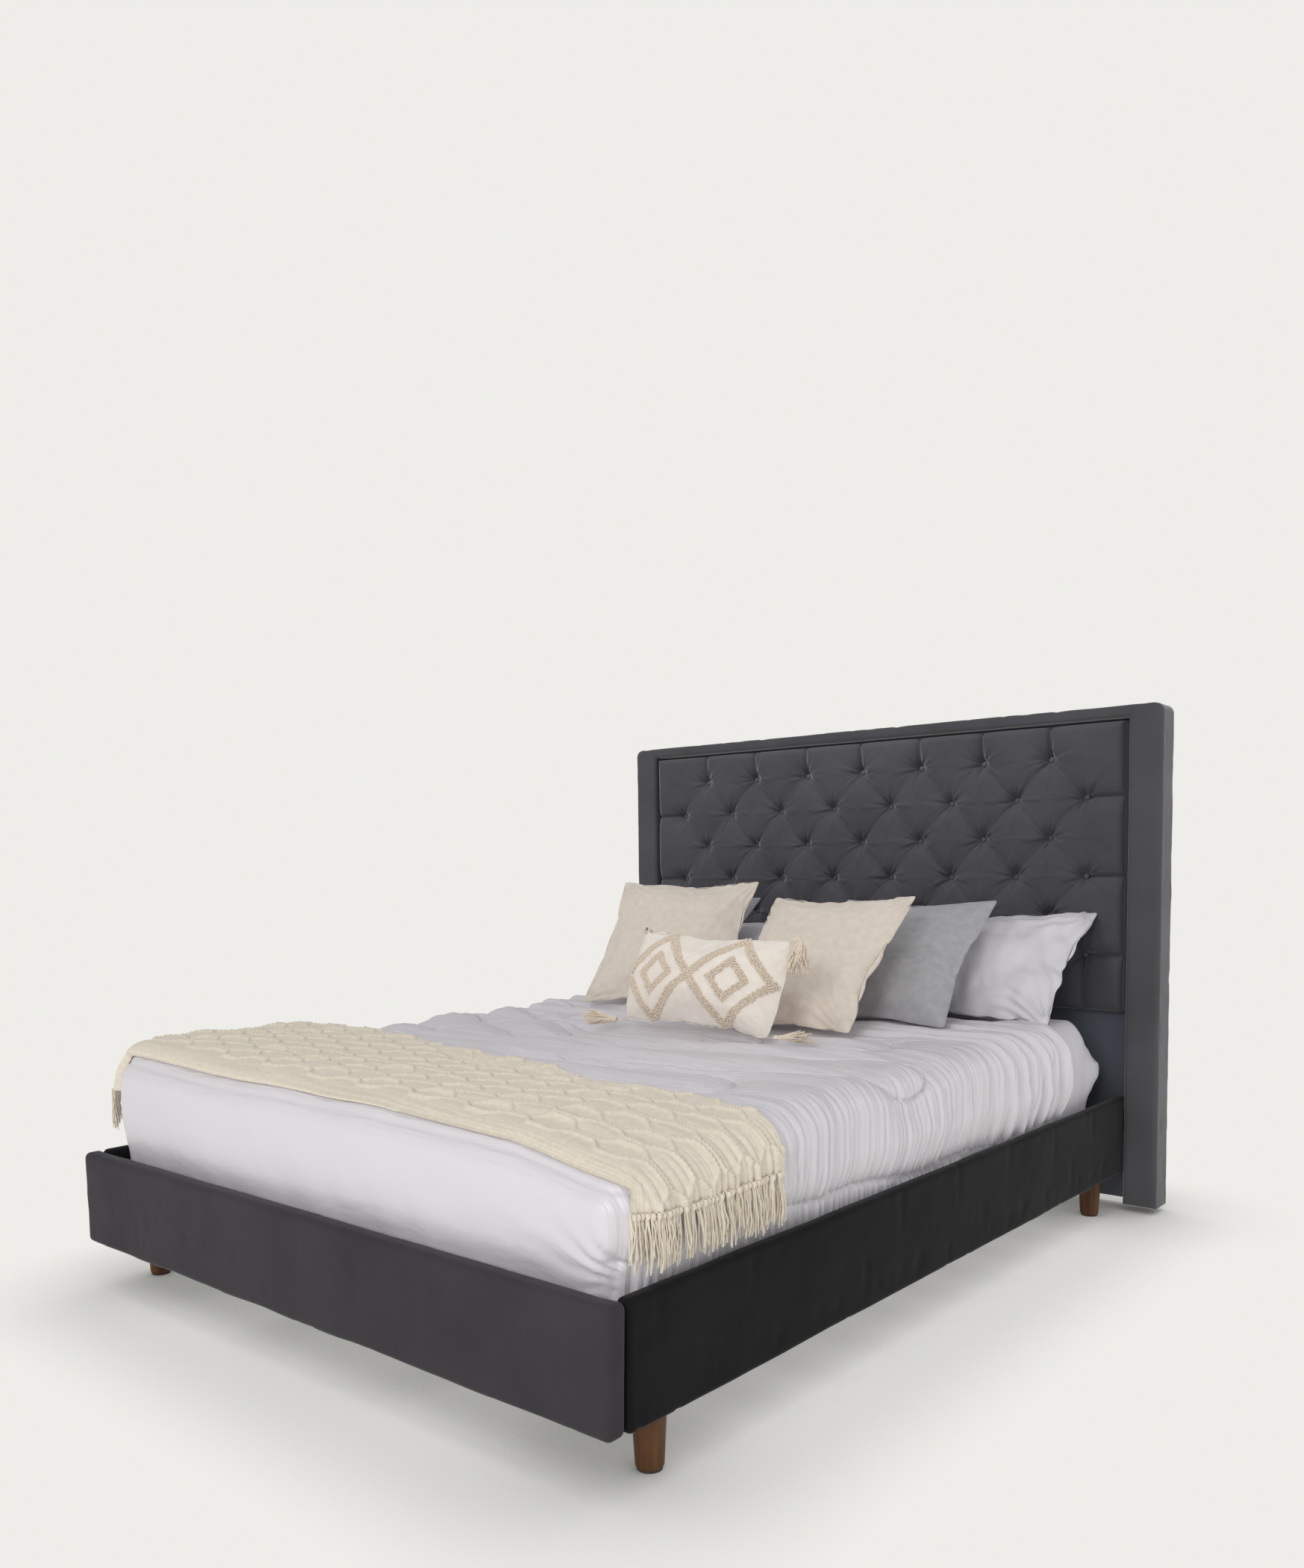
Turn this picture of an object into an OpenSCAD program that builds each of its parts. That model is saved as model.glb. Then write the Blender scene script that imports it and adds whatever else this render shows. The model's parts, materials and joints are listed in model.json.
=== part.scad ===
// Upholstered queen-size bed: padded velvet frame, button-tufted headboard between
// padded side borders, slatted base, mattress, comforter, knitted throw and loose pillows.
// +Z is up, +Y points to the head, -Y to the foot. The origin lies on the floor,
// in the middle of the bed's footprint. All lengths are in millimetres.

/* [Overall] */
// Length from the footboard's front to the headboard's back
overall_length = 2215; // [2180:5:2260]
// Width across the outer faces of the side rails
frame_width = 1690; // [1680:2:1700]
// Width of the headboard
headboard_width = 1870; // [1850:5:1920]
// Height of the headboard's top above the floor
headboard_height = 1400; // [1300:10:1500]
// Depth of the headboard, front to back
headboard_depth = 95; // [90:1:110]

/* [Base frame] */
// Clear height under the rails, which is the visible length of a leg
rail_clearance = 106; // [90:1:140]
// Height of the rails and the footboard
rail_height = 214; // [200:1:230]
// Thickness of a side rail with its padding
rail_thickness = 30; // [28:1:34]
// Thickness of the footboard with its padding
footboard_thickness = 42; // [40:1:50]
// Thickness of foam and velvet over a wooden core
padding = 5; // [4:0.5:7]
// Width of one slat
slat_width = 95; // [70:1:100]
// Thickness of one slat
slat_thickness = 18; // [14:1:20]

/* [Legs] */
// Diameter of a leg at the top
leg_top_d = 60; // [50:1:64]
// Diameter of a leg at the floor
leg_foot_d = 49; // [40:1:56]
// Distance of a leg's centre from the outer face of the rail
leg_side_inset = 55; // [50:1:60]
// Distance of the foot legs' centres from the footboard's front
leg_foot_inset = 152; // [140:1:180]
// Distance of the head legs' centres from the headboard's front
leg_head_inset = 90; // [80:1:120]

/* [Headboard] */
// Gap between the floor and the headboard's side borders
headboard_gap = 18; // [12:1:30]
// Width of the padded border at the top
top_border = 28; // [26:1:36]
// Depth of the plain panel behind the side borders' front
recess_depth = 50; // [48:1:54]
// Height of the tufted panel's lower edge
tufted_bottom = 560; // [558:1:570]
// Horizontal distance between tufting buttons
button_pitch = 207; // [200:1:208]
// Vertical distance between rows of tufting buttons
button_row = 111; // [108:0.5:112]
// Diameter of a tufting button
button_d = 22; // [18:1:26]

/* [Bedding] */
// Width of the mattress
mattress_width = 1600; // [1590:1:1600]
// Length of the mattress
mattress_length = 2000; // [1980:1:2000]
// Thickness of the mattress
mattress_thickness = 254; // [240:1:256]
// Thickness of the comforter on top of the mattress
comforter_loft = 27; // [20:1:27]

/* [Hidden] */
$fn = 48;
e = 0.1;              // clearance round a bolt
gap = 0.4;            // clearance between loose soft goods
slat_count = 12;      // one node per slat
y_foot = -overall_length / 2;
y_head = overall_length / 2;
y_wing = y_head - headboard_depth;          // front plane of the side borders
y_recess = y_wing + recess_depth;           // front plane of the plain panel
y_foot_in = y_foot + footboard_thickness;   // inner face of the footboard
x_rail = frame_width / 2;                   // outer face of a side rail
x_rail_in = x_rail - rail_thickness;        // inner face of a side rail
x_wing = x_rail + 2;                        // inner face of a side border
x_board = headboard_width / 2;              // outer face of a side border
z_rail = rail_clearance;
z_rail_top = rail_clearance + rail_height;
z_border = headboard_height - top_border;   // underside of the top border
mattress_sink = 48;                         // depth of the mattress between the rails
z_mattress = z_rail_top - mattress_sink;
z_slat = z_mattress - slat_thickness;       // underside of the slats
z_mattress_top = z_mattress + mattress_thickness;
mattress_head_gap = 8.5;
y_mattress_head = y_wing - mattress_head_gap;
y_mattress_foot = y_mattress_head - mattress_length;

foot_joint = 2.5;                           // the rails stop just short of the footboard
rail_y0 = y_foot_in + foot_joint;
rail_y1 = y_recess;
rail_length = rail_y1 - rail_y0;
leg_x = x_rail - leg_side_inset;
leg_y_foot = y_foot + leg_foot_inset;
leg_y_head = y_wing - leg_head_inset;
leg_glide = 3;                              // thickness of the pad under a leg
leg_bolt_r = 4;
board_t = 18;                               // plywood of the corner boards
corner_board_x = 150;
corner_board_y = 190;

ledger_w = 25;
ledger_h = 35;
z_ledger = z_slat - ledger_h;
slat_length = 2 * (x_rail_in - 3);
slat_foot_inset = 70;
slat_head_inset = 75;
slat_first_y = y_foot_in + slat_foot_inset;
slat_last_y = y_recess - slat_head_inset;
slat_pitch = (slat_last_y - slat_first_y) / (slat_count - 1);

beam_w = 40;
beam_h = 60;
z_beam = z_slat - beam_h;
support_y = 400;                            // the two support legs stand at +-support_y
support_d = 42;
z_support = 32;                             // underside of a support leg
foot_screw_r = 5;
foot_screw_hole = 60;
foot_pad_h = 8;
foot_travel = 12;

bracket_t = 3;
bracket_leg = 45;
bracket_h = 80;
bracket_bolt_side = 29;                     // bolt centres from the corner, along the rail
bracket_bolt_end = 27;                      // and across the bed
z_bracket = z_rail + board_t + 4;
bolt_r = 4;
bolt_head_r = 7;
bolt_head_h = 5;

post_in = 5;                                // padding over the headboard's wooden parts
cross_h = 60;                               // height of a cross rail in the headboard
panel_t = 12;                               // plywood behind the fabric
lining_t = 2;
tuft_half = x_wing - 12;
z_tuft_top = z_border - 10;
y_tuft = y_wing - 4.5;                      // front of the tufted pad
tuft_rows = 6;
z_first_row = z_tuft_top - 92;
y_button = y_wing + 6;                      // front of a button, sunk into the pad
button_stem_r = 3;

sheet_t = 2;
mattress_r = 70;
comforter_in_x = mattress_width / 2 + sheet_t + gap;
comforter_tuck_x = x_rail_in - 4;           // half its width where it is tucked between the rails
comforter_x = x_rail_in + 6;                // and above them
comforter_foot = 42;                        // how far it puffs out at the foot of the mattress
comforter_tuck_foot = 11;
comforter_r = 80;
comforter_y0 = y_mattress_foot - comforter_foot;
comforter_y1 = 620;
z_comforter_in = z_mattress_top + sheet_t + gap;
z_comforter = z_comforter_in + comforter_loft;
z_comforter_hem = z_rail_top - 22;
z_comforter_ledge = z_rail_top + 90;        // it bulges from here up
throw_t = 7;
throw_y0 = comforter_y0 + 12;
throw_rear_left = -505;
throw_rear_right = -625;
throw_drop_left = 105;
throw_drop_right = 95;
fringe_l = 95;
tassel_l = 58;
tassel_gap = 2;
tassel_lift = 12;                           // in front of the cushion's middle plane
tassel_low_y = 18;
tassel_high_inset = 6;
tassel_neck_r = 5;
tassel_end_r = 14;

// Loose pillows: [x, y, z of the lower edge's middle], turn, lean back, tilt, [width, height, thickness]
WHITE_LEFT = [[-440, 640, 545], 0, 54, 0, [640, 437, 140]];
WHITE_RIGHT = [[455, 640, 545], 1, 54, 0, [640, 437, 140]];
GREY_LEFT = [[-455, 520, 564], -2, 44, 0, [480, 473, 100]];
GREY_RIGHT = [[376, 406, 564], 3, 48, 0, [480, 473, 125]];
BEIGE_LEFT = [[-361, 401, 564], 12.5, 38, 0, [482, 472, 105]];
BEIGE_RIGHT = [[246, 178, 566], -2.5, 45.5, 1, [466, 472, 125]];
LUMBAR = [[141, -12, 563], 0.5, 22, 0, [490, 250, 120]];

velvet = [0.23, 0.23, 0.25];
pine = [0.80, 0.65, 0.45];
plywood = [0.74, 0.60, 0.42];
steel = [0.55, 0.56, 0.58];
walnut = [0.38, 0.24, 0.14];
white_linen = [0.90, 0.90, 0.93];
cream = [0.87, 0.81, 0.69];

// ---- shared shapes ----

// Box from its lowest corner to its highest corner
module box(low, high) {
    translate(low) cube(high - low);
}

// Upright slab with rounded corners in plan
module rounded_slab(low, high, r) {
    w = high.x - low.x;
    l = high.y - low.y;
    translate(low)
        linear_extrude(high.z - low.z)
            union() {
                translate([r, 0]) square([w - 2 * r, l]);
                translate([0, r]) square([w, l - 2 * r]);
                for (x = [r, w - r], y = [r, l - r]) translate([x, y]) circle(r);
            }
}

// Foam and velvet wrapped round a wooden core: outer box less the core
module wrap(low, high, t) {
    difference() {
        box(low, high);
        box(low + [t, t, t], high - [t, t, t]);
    }
}

module both_sides() {
    children();
    mirror([1, 0, 0]) children();
}

// ---- base frame ----

foot_low = [-x_rail, y_foot, z_rail];
foot_high = [x_rail, y_foot_in, z_rail_top];
rail_low = [x_rail_in, rail_y0, z_rail];
rail_high = [x_rail, rail_y1 - gap, z_rail_top];
pad3 = [padding, padding, padding];

module footboard_core() {
    color(plywood) box(foot_low + pad3, foot_high - pad3);
}

module footboard_cover() {
    color(velvet) wrap(foot_low, foot_high, padding);
}

module rail_core(side) {
    color(pine) mirror([side < 0 ? 1 : 0, 0, 0]) box(rail_low + pad3, rail_high - pad3);
}

module rail_cover(side) {
    color(velvet) mirror([side < 0 ? 1 : 0, 0, 0]) wrap(rail_low, rail_high, padding);
}

// Steel angle in each corner, with two bolt holes in each flange
module corner_bracket(y_wall, dir) {
    difference() {
        union() {
            box([x_rail_in - bracket_t, min(y_wall, y_wall + dir * bracket_leg), z_bracket],
                [x_rail_in, max(y_wall, y_wall + dir * bracket_leg), z_bracket + bracket_h]);
            box([x_rail_in - bracket_leg, min(y_wall, y_wall + dir * bracket_t), z_bracket],
                [x_rail_in, max(y_wall, y_wall + dir * bracket_t), z_bracket + bracket_h]);
        }
        for (z = bolt_heights()) {
            translate([x_rail_in, y_wall + dir * bracket_bolt_side, z])
                rotate([0, 90, 0]) cylinder(r = bolt_r + e, h = 4 * bracket_t, center = true);
            translate([x_rail_in - bracket_bolt_end, y_wall, z])
                rotate([90, 0, 0]) cylinder(r = bolt_r + e, h = 4 * bracket_t, center = true);
        }
    }
}

function bolt_heights() = [z_bracket + 20, z_bracket + bracket_h - 20];

module corner_brackets() {
    color(steel) both_sides() {
        corner_bracket(y_foot_in, 1);
        corner_bracket(y_recess, -1);
    }
}

// Bolt head and the part of the shank inside the bracket; it bears on the padded cover
module short_bolt() {
    cylinder(r = bolt_r, h = bracket_t);
    translate([0, 0, bracket_t]) cylinder(r = bolt_head_r, h = bolt_head_h);
}

module frame_bolts() {
    color(steel) both_sides()
        for (wall = [[y_foot_in, 1], [y_recess, -1]], z = bolt_heights()) {
            translate([x_rail_in, wall[0] + wall[1] * bracket_bolt_side, z])
                rotate([0, -90, 0]) short_bolt();
            translate([x_rail_in - bracket_bolt_end, wall[0], z])
                rotate([wall[1] > 0 ? -90 : 90, 0, 0]) short_bolt();
        }
}

module ledger(side) {
    color(pine) mirror([side < 0 ? 1 : 0, 0, 0])
        box([x_rail_in - ledger_w, rail_y0 + 12, z_ledger], [x_rail_in, rail_y1 - 12, z_slat]);
}

module centre_beam() {
    color(steel) difference() {
        box([-beam_w / 2, y_foot_in, z_beam], [beam_w / 2, y_recess, z_slat]);
        box([-beam_w / 2 + 2, y_foot_in - 1, z_beam + 2], [beam_w / 2 - 2, y_recess + 1, z_slat - 2]);
    }
}

// Tube leg under the centre beam, with a nut bore for its levelling screw
module support_leg(y) {
    color(steel) translate([0, y, z_support]) difference() {
        cylinder(d = support_d, h = z_beam - z_support);
        translate([0, 0, -1]) cylinder(r = foot_screw_r + e, h = foot_screw_hole + 1);
    }
}

// Threaded rod with a round pad; it screws up into the support leg
module levelling_screw(y) {
    color([0.15, 0.15, 0.16]) translate([0, y, 0]) {
        cylinder(d = support_d - 4, h = foot_pad_h);
        cylinder(r = foot_screw_r, h = z_support + foot_screw_hole - foot_travel - 4);
    }
}

// Plywood board in each corner that carries a leg
module corner_board(y) {
    difference() {
        box([x_rail_in - corner_board_x, y, z_rail], [x_rail_in, y + corner_board_y, z_rail + board_t]);
        for (leg_y = [leg_y_foot, leg_y_head])
            translate([leg_x, leg_y, 0]) cylinder(r = leg_bolt_r + e, h = z_rail + board_t + 1);
    }
}

module corner_boards() {
    color(plywood) both_sides() {
        corner_board(y_foot_in);
        corner_board(y_recess - corner_board_y);
    }
}

// ---- legs ----

module leg(x, y) {
    color(walnut) translate([x, y, leg_glide]) difference() {
        cylinder(d1 = leg_foot_d, d2 = leg_top_d, h = z_rail - leg_glide);
        translate([0, 0, z_rail - leg_glide - 40]) cylinder(r = leg_bolt_r + e, h = 41);
    }
}

module each_leg() {
    both_sides() {
        translate([leg_x, leg_y_foot, 0]) children();
        translate([leg_x, leg_y_head, 0]) children();
    }
}

module leg_bolts() {
    color(steel) each_leg() {
        translate([0, 0, z_rail - 35]) cylinder(r = leg_bolt_r, h = 35 + board_t);
        translate([0, 0, z_rail + board_t]) cylinder(r = bolt_head_r, h = bolt_head_h);
    }
}

module leg_glides() {
    color([0.2, 0.19, 0.18]) each_leg() cylinder(d = leg_foot_d - 6, h = leg_glide);
}

// ---- slats ----

module slat(i) {
    y = slat_first_y + (i - 1) * slat_pitch;
    color(pine) box([-slat_length / 2, y - slat_width / 2, z_slat],
                    [slat_length / 2, y + slat_width / 2, z_slat + slat_thickness]);
}

// ---- headboard ----

border_low = [x_wing, y_wing, headboard_gap];
border_high = [x_board, y_head, headboard_height];

module headboard_post(side) {
    color(pine) mirror([side < 0 ? 1 : 0, 0, 0])
        box(border_low + [post_in, post_in, post_in], border_high - [post_in, post_in, post_in]);
}

module border_cover(side) {
    color(velvet) mirror([side < 0 ? 1 : 0, 0, 0]) difference() {
        rounded_slab(border_low, border_high, 12);
        box(border_low + [post_in, post_in, post_in], border_high - [post_in, post_in, post_in]);
    }
}

top_low = [-x_wing, y_wing, z_border];
top_high = [x_wing, y_head, headboard_height];

module headboard_top_board() {
    color(pine) box(top_low + [0, post_in, post_in], top_high - [0, post_in, post_in]);
}

module top_border_cover() {
    color(velvet) difference() {
        box(top_low, top_high);
        box(top_low + [-1, post_in, post_in], top_high - [-1, post_in, post_in]);
    }
}

// Three timber rails behind the plain panel
module headboard_cross_rails() {
    y0 = y_recess + panel_t;
    color(pine) for (z = [headboard_gap + 40, 620, z_border - cross_h])
        box([-x_wing, y0, z], [x_wing, y_head - lining_t, z + cross_h]);
}

module recess_panel() {
    color(velvet) difference() {
        box([-x_wing, y_recess, headboard_gap + 8], [x_wing, y_recess + panel_t, z_border]);
        button_field() cylinder(r = button_stem_r + e, h = headboard_depth);
    }
}

// Rows of seven and eight places in turn, half a pitch apart, facing the foot of the bed
module button_field() {
    for (row = [0:tuft_rows - 1]) {
        n = row % 2 == 0 ? 7 : 8;
        for (i = [0:n - 1])
            translate([(i - (n - 1) / 2) * button_pitch, y_button, z_first_row - row * button_row])
                rotate([-90, 0, 0]) children();
    }
}

module tufted_board() {
    color(plywood) difference() {
        box([-tuft_half + 6, y_recess - panel_t, tufted_bottom + 6],
            [tuft_half - 6, y_recess, z_tuft_top - 6]);
        button_field() cylinder(r = button_stem_r + e, h = headboard_depth);
    }
}

// Foam pad under velvet, with a round sink for every button
module tufted_pad() {
    color(velvet) difference() {
        box([-tuft_half, y_tuft, tufted_bottom], [tuft_half, y_recess, z_tuft_top]);
        box([-tuft_half + 6, y_recess - panel_t, tufted_bottom + 6],
            [tuft_half - 6, y_recess + 1, z_tuft_top - 6]);
        button_field() {
            translate([0, 0, y_tuft - y_button - 1]) cylinder(r = button_d / 2 + e, h = 18);
            cylinder(r = button_stem_r + e, h = headboard_depth);
        }
    }
}

// Covered button with its shank, which is tied off behind the plain panel
module tufting_buttons() {
    color(velvet) button_field() {
        cylinder(d = button_d, h = 5);
        cylinder(r = button_stem_r, h = y_recess + panel_t - y_button);
    }
}

module rear_lining() {
    color([0.1, 0.1, 0.1])
        box([-x_wing, y_head - lining_t, headboard_gap + 8], [x_wing, y_head, z_border]);
}

// ---- mattress and bedding ----

mattress_low = [-mattress_width / 2, y_mattress_foot, z_mattress];
mattress_high = [mattress_width / 2, y_mattress_head, z_mattress_top];

module mattress() {
    color([0.93, 0.93, 0.92]) rounded_slab(mattress_low, mattress_high, mattress_r);
}

module fitted_sheet() {
    color(white_linen) difference() {
        rounded_slab(mattress_low - [sheet_t, sheet_t, -2], mattress_high + [sheet_t, sheet_t, sheet_t],
                     mattress_r + sheet_t);
        rounded_slab(mattress_low - [0, 0, 1], mattress_high, mattress_r);
    }
}

// Tray-shaped cover over the mattress: tucked inside the rails, puffed out higher up, open at the head
module comforter() {
    color(white_linen) difference() {
        union() {
            rounded_slab([-comforter_x, comforter_y0, z_comforter_ledge],
                         [comforter_x, y_head, z_comforter], comforter_r);
            rounded_slab([-comforter_tuck_x, comforter_y0 + comforter_tuck_foot, z_comforter_hem],
                         [comforter_tuck_x, y_head, z_comforter_ledge + 1], comforter_r);
        }
        rounded_slab([-comforter_in_x, y_mattress_foot - sheet_t - gap, z_comforter_hem - 1],
                     [comforter_in_x, 2 * y_head, z_comforter_in], mattress_r + sheet_t);
        box([-x_board, comforter_y1, 0], [x_board, 2 * y_head, headboard_height]);
    }
}

throw_x = comforter_x + gap;
z_throw = z_comforter + gap;

// Knitted blanket laid across the foot end, hanging a little down both sides
module throw_blanket() {
    color(cream) {
        translate([0, 0, z_throw]) linear_extrude(throw_t)
            polygon([
                [-throw_x - throw_t, throw_y0], [throw_x + throw_t, throw_y0],
                [throw_x + throw_t, throw_rear_right], [-throw_x - throw_t, throw_rear_left]
            ]);
        box([throw_x, throw_y0, z_throw - throw_drop_right], [throw_x + throw_t, throw_rear_right, z_throw]);
        box([-throw_x - throw_t, throw_y0, z_throw - throw_drop_left], [-throw_x, throw_rear_left, z_throw]);
    }
}

module throw_fringe() {
    color(cream) {
        box([throw_x, throw_y0, z_throw - throw_drop_right - fringe_l],
            [throw_x + throw_t - 1, throw_rear_right, z_throw - throw_drop_right]);
        box([-throw_x - throw_t + 1, throw_y0, z_throw - throw_drop_left - fringe_l],
            [-throw_x, throw_rear_left, z_throw - throw_drop_left]);
    }
}

// ---- pillows ----

// Places a child drawn flat, with its lower edge on the X axis and its face up
module leaning(place) {
    translate(place[0]) rotate([0, 0, place[1]]) rotate([90 - place[2], 0, 0]) rotate([0, 0, place[3]])
        children();
}

// Plump pillow: thin rounded corners and a thick middle
module pillow(place) {
    size = place[4];
    edge = 4;
    leaning(place) translate([0, size.y / 2, 0]) hull() {
        for (x = [-1, 1], y = [-1, 1])
            translate([x * (size.x / 2 - edge), y * (size.y / 2 - edge), 0]) sphere(edge, $fn = 12);
        scale([size.x * 0.35, size.y * 0.35, size.z / 2]) sphere(1, $fn = 24);
    }
}

module lumbar_cushion() {
    color(cream) pillow(LUMBAR);
}

// Thick yarn tassel at each corner of the small cushion
module cushion_tassels() {
    size = LUMBAR[4];
    color(cream) leaning(LUMBAR)
        for (x = [-1, 1], y = [tassel_low_y, size.y - tassel_high_inset])
            translate([x * (size.x / 2 + tassel_gap), y, tassel_lift])
                rotate([0, x * 90, 0]) cylinder(r1 = tassel_neck_r, r2 = tassel_end_r, h = tassel_l);
}

// ---- assembly ----

footboard_core();
footboard_cover();
rail_core(-1);  // left_rail_core
rail_cover(-1);  // left_rail_cover
rail_core(1);  // right_rail_core
rail_cover(1);  // right_rail_cover
corner_brackets();
frame_bolts();
ledger(-1);  // left_ledger
ledger(1);  // right_ledger
centre_beam();
support_leg(-support_y);  // foot_support_leg
support_leg(support_y);  // head_support_leg
levelling_screw(-support_y);  // foot_levelling_screw
levelling_screw(support_y);  // head_levelling_screw
corner_boards();
leg(-leg_x, leg_y_foot);  // foot_left_leg
leg(leg_x, leg_y_foot);  // foot_right_leg
leg(-leg_x, leg_y_head);  // head_left_leg
leg(leg_x, leg_y_head);  // head_right_leg
leg_bolts();
leg_glides();
for (i = [1:slat_count])
    slat(i);
headboard_post(-1);  // headboard_left_post
headboard_post(1);  // headboard_right_post
headboard_top_board();
headboard_cross_rails();
border_cover(-1);  // left_border_cover
border_cover(1);  // right_border_cover
top_border_cover();
recess_panel();
tufted_board();
tufted_pad();
tufting_buttons();
rear_lining();
mattress();
fitted_sheet();
comforter();
throw_blanket();
throw_fringe();
color(white_linen) pillow(WHITE_LEFT);  // left_white_pillow
color(white_linen) pillow(WHITE_RIGHT);  // right_white_pillow
color([0.56, 0.57, 0.59]) pillow(GREY_LEFT);  // left_grey_pillow
color([0.56, 0.57, 0.59]) pillow(GREY_RIGHT);  // right_grey_pillow
color([0.79, 0.75, 0.69]) pillow(BEIGE_LEFT);  // left_beige_pillow
color([0.79, 0.75, 0.69]) pillow(BEIGE_RIGHT);  // right_beige_pillow
lumbar_cushion();
cushion_tassels();
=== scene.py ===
"""Looks for the upholstered bed: velvet frame, tufted headboard, bedding and loose pillows."""

import json
import math

import bpy
import numpy as np
from mathutils import Matrix, Vector
from mathutils.bvhtree import BVHTree


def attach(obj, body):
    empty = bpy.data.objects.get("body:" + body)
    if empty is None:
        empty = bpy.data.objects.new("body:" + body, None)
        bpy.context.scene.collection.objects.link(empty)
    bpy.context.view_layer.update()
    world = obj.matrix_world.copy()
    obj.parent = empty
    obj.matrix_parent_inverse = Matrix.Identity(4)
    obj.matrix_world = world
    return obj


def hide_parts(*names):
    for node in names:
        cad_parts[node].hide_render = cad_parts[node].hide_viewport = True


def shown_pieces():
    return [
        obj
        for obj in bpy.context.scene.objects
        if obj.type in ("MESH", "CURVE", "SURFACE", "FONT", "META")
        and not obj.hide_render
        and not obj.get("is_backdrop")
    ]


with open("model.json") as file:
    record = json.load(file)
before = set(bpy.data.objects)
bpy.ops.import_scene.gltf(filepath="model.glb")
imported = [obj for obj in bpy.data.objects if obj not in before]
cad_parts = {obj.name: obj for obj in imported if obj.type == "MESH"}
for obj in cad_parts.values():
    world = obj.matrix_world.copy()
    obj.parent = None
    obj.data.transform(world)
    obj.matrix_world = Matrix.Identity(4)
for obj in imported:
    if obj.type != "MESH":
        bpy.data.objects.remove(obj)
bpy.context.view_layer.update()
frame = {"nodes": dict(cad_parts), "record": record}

# ---- measures of the bed, in metres; +X is the right side, +Y the head, +Z up ----

Y_FOOT = -1.1075
Y_HEAD = 1.1075
Y_BORDER = 1.0125       # front of the headboard's borders
Y_RECESS = 1.0625       # front of the plain panel below the tufts
Y_RAIL_FOOT = -1.063
X_RAIL = 0.845
RAIL_THICK = 0.030
FOOTBOARD_THICK = 0.042
X_BORDER_IN = 0.847
X_BOARD = 0.938
Z_BOARD_LOW = 0.018
Z_BOARD = 1.404
Z_BORDER_UNDER = 1.372
Z_RAIL_LOW = 0.106
Z_RAIL_TOP = 0.320
PAD_X = 0.835
PAD_LOW = 0.560
PAD_TOP = 1.362
PAD_FRONT = 1.0065
BUTTON_PITCH = 0.207
BUTTON_ROW = 0.111
FIRST_ROW = 1.270
BUTTON_FRONT = 1.0375
BUTTON_SIDES = 20

X_LEG = 0.79
Y_LEG_FOOT = -0.9555
Y_LEG_HEAD = 0.9225
LEG_SIDES = 64

QUILT_LOW = np.array([-0.823, -1.040, 0.298])
QUILT_HIGH = np.array([0.823, 0.640, 0.5554])
QUILT_ROUND = np.array([0.075, 0.085, 0.075])
QUILT_HALF = 0.830          # half the comforter's width above the rails
QUILT_HALF_LOW = 0.8115     # and between them
LINING_LOW = np.array([-0.803, -1.000, 0.298])      # the comforter's inner face
LINING_HIGH = np.array([0.803, 0.640, 0.529])
LINING_ROUND = np.array([0.06, 0.07, 0.07])
MATTRESS_LOW = (-0.787, -0.993, 0.2725)
MATTRESS_HIGH = (0.787, 1.001, 0.5245)
MATTRESS_ROUND = (0.055, 0.125, 0.12)
SHEET_LOW = np.array([-0.802, -0.998, 0.274])
SHEET_HIGH = np.array([0.802, 1.0055, 0.5278])
SHEET_ROUND = np.array([0.06, 0.13, 0.125])
SHEET_END = 1.0022      # the sheet's folds stay in front of this, so that it clears the tufts when it lifts


# ---- shapes ----


def value_noise(points, cell, seed):
    """Smooth random field between -1 and 1 at each point. cell is its grain, one length or one per axis."""
    table = np.random.default_rng(seed).uniform(-1, 1, (32, 32, 32))
    place = points / np.asarray(cell, float) + 100
    base = np.floor(place).astype(int)
    t = place - base
    t = t * t * (3 - 2 * t)
    total = np.zeros(len(points))
    for corner in np.ndindex(2, 2, 2):
        weight = np.ones(len(points))
        index = []
        for axis in range(3):
            weight = weight * (t[:, axis] if corner[axis] else 1 - t[:, axis])
            index.append((base[:, axis] + corner[axis]) % 32)
        total += weight * table[tuple(index)]
    return total


def ease(x, low, high):
    """Smooth step from 0 at low to 1 at high."""
    t = np.clip((x - low) / (high - low), 0, 1)
    return t * t * (3 - 2 * t)


def bell(distance, width):
    """Bell curve: 1 at distance 0, next to nothing beyond twice the width."""
    return np.exp(-((distance / width) ** 2))


def unit(vectors):
    """The same vectors at length 1."""
    return vectors / np.maximum(np.linalg.norm(vectors, axis=1), 1e-9)[:, None]


def quad_mesh(name, points, quads):
    """Smooth-shaded mesh object from an array of points and an array of quads."""
    mesh = bpy.data.meshes.new(name)
    mesh.vertices.add(len(points))
    mesh.vertices.foreach_set("co", np.asarray(points, np.float32).ravel())
    mesh.loops.add(4 * len(quads))
    mesh.loops.foreach_set("vertex_index", np.asarray(quads, np.int32).ravel())
    mesh.polygons.add(len(quads))
    mesh.polygons.foreach_set("loop_start", np.arange(0, 4 * len(quads), 4, dtype=np.int32))
    mesh.update(calc_edges=True)
    mesh.shade_smooth()
    made = bpy.data.objects.new(name, mesh)
    bpy.context.scene.collection.objects.link(made)
    return made


def read_rows(items, attribute, width, kind=float):
    """One attribute of every item in a Blender collection, a row for each."""
    values = np.zeros(width * len(items), kind)
    items.foreach_get(attribute, values)
    return values.reshape(-1, width)


def points_of(obj):
    return read_rows(obj.data.vertices, "co", 3)


def set_points(obj, points):
    obj.data.vertices.foreach_set("co", np.asarray(points, np.float32).ravel())
    obj.data.update()


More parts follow.
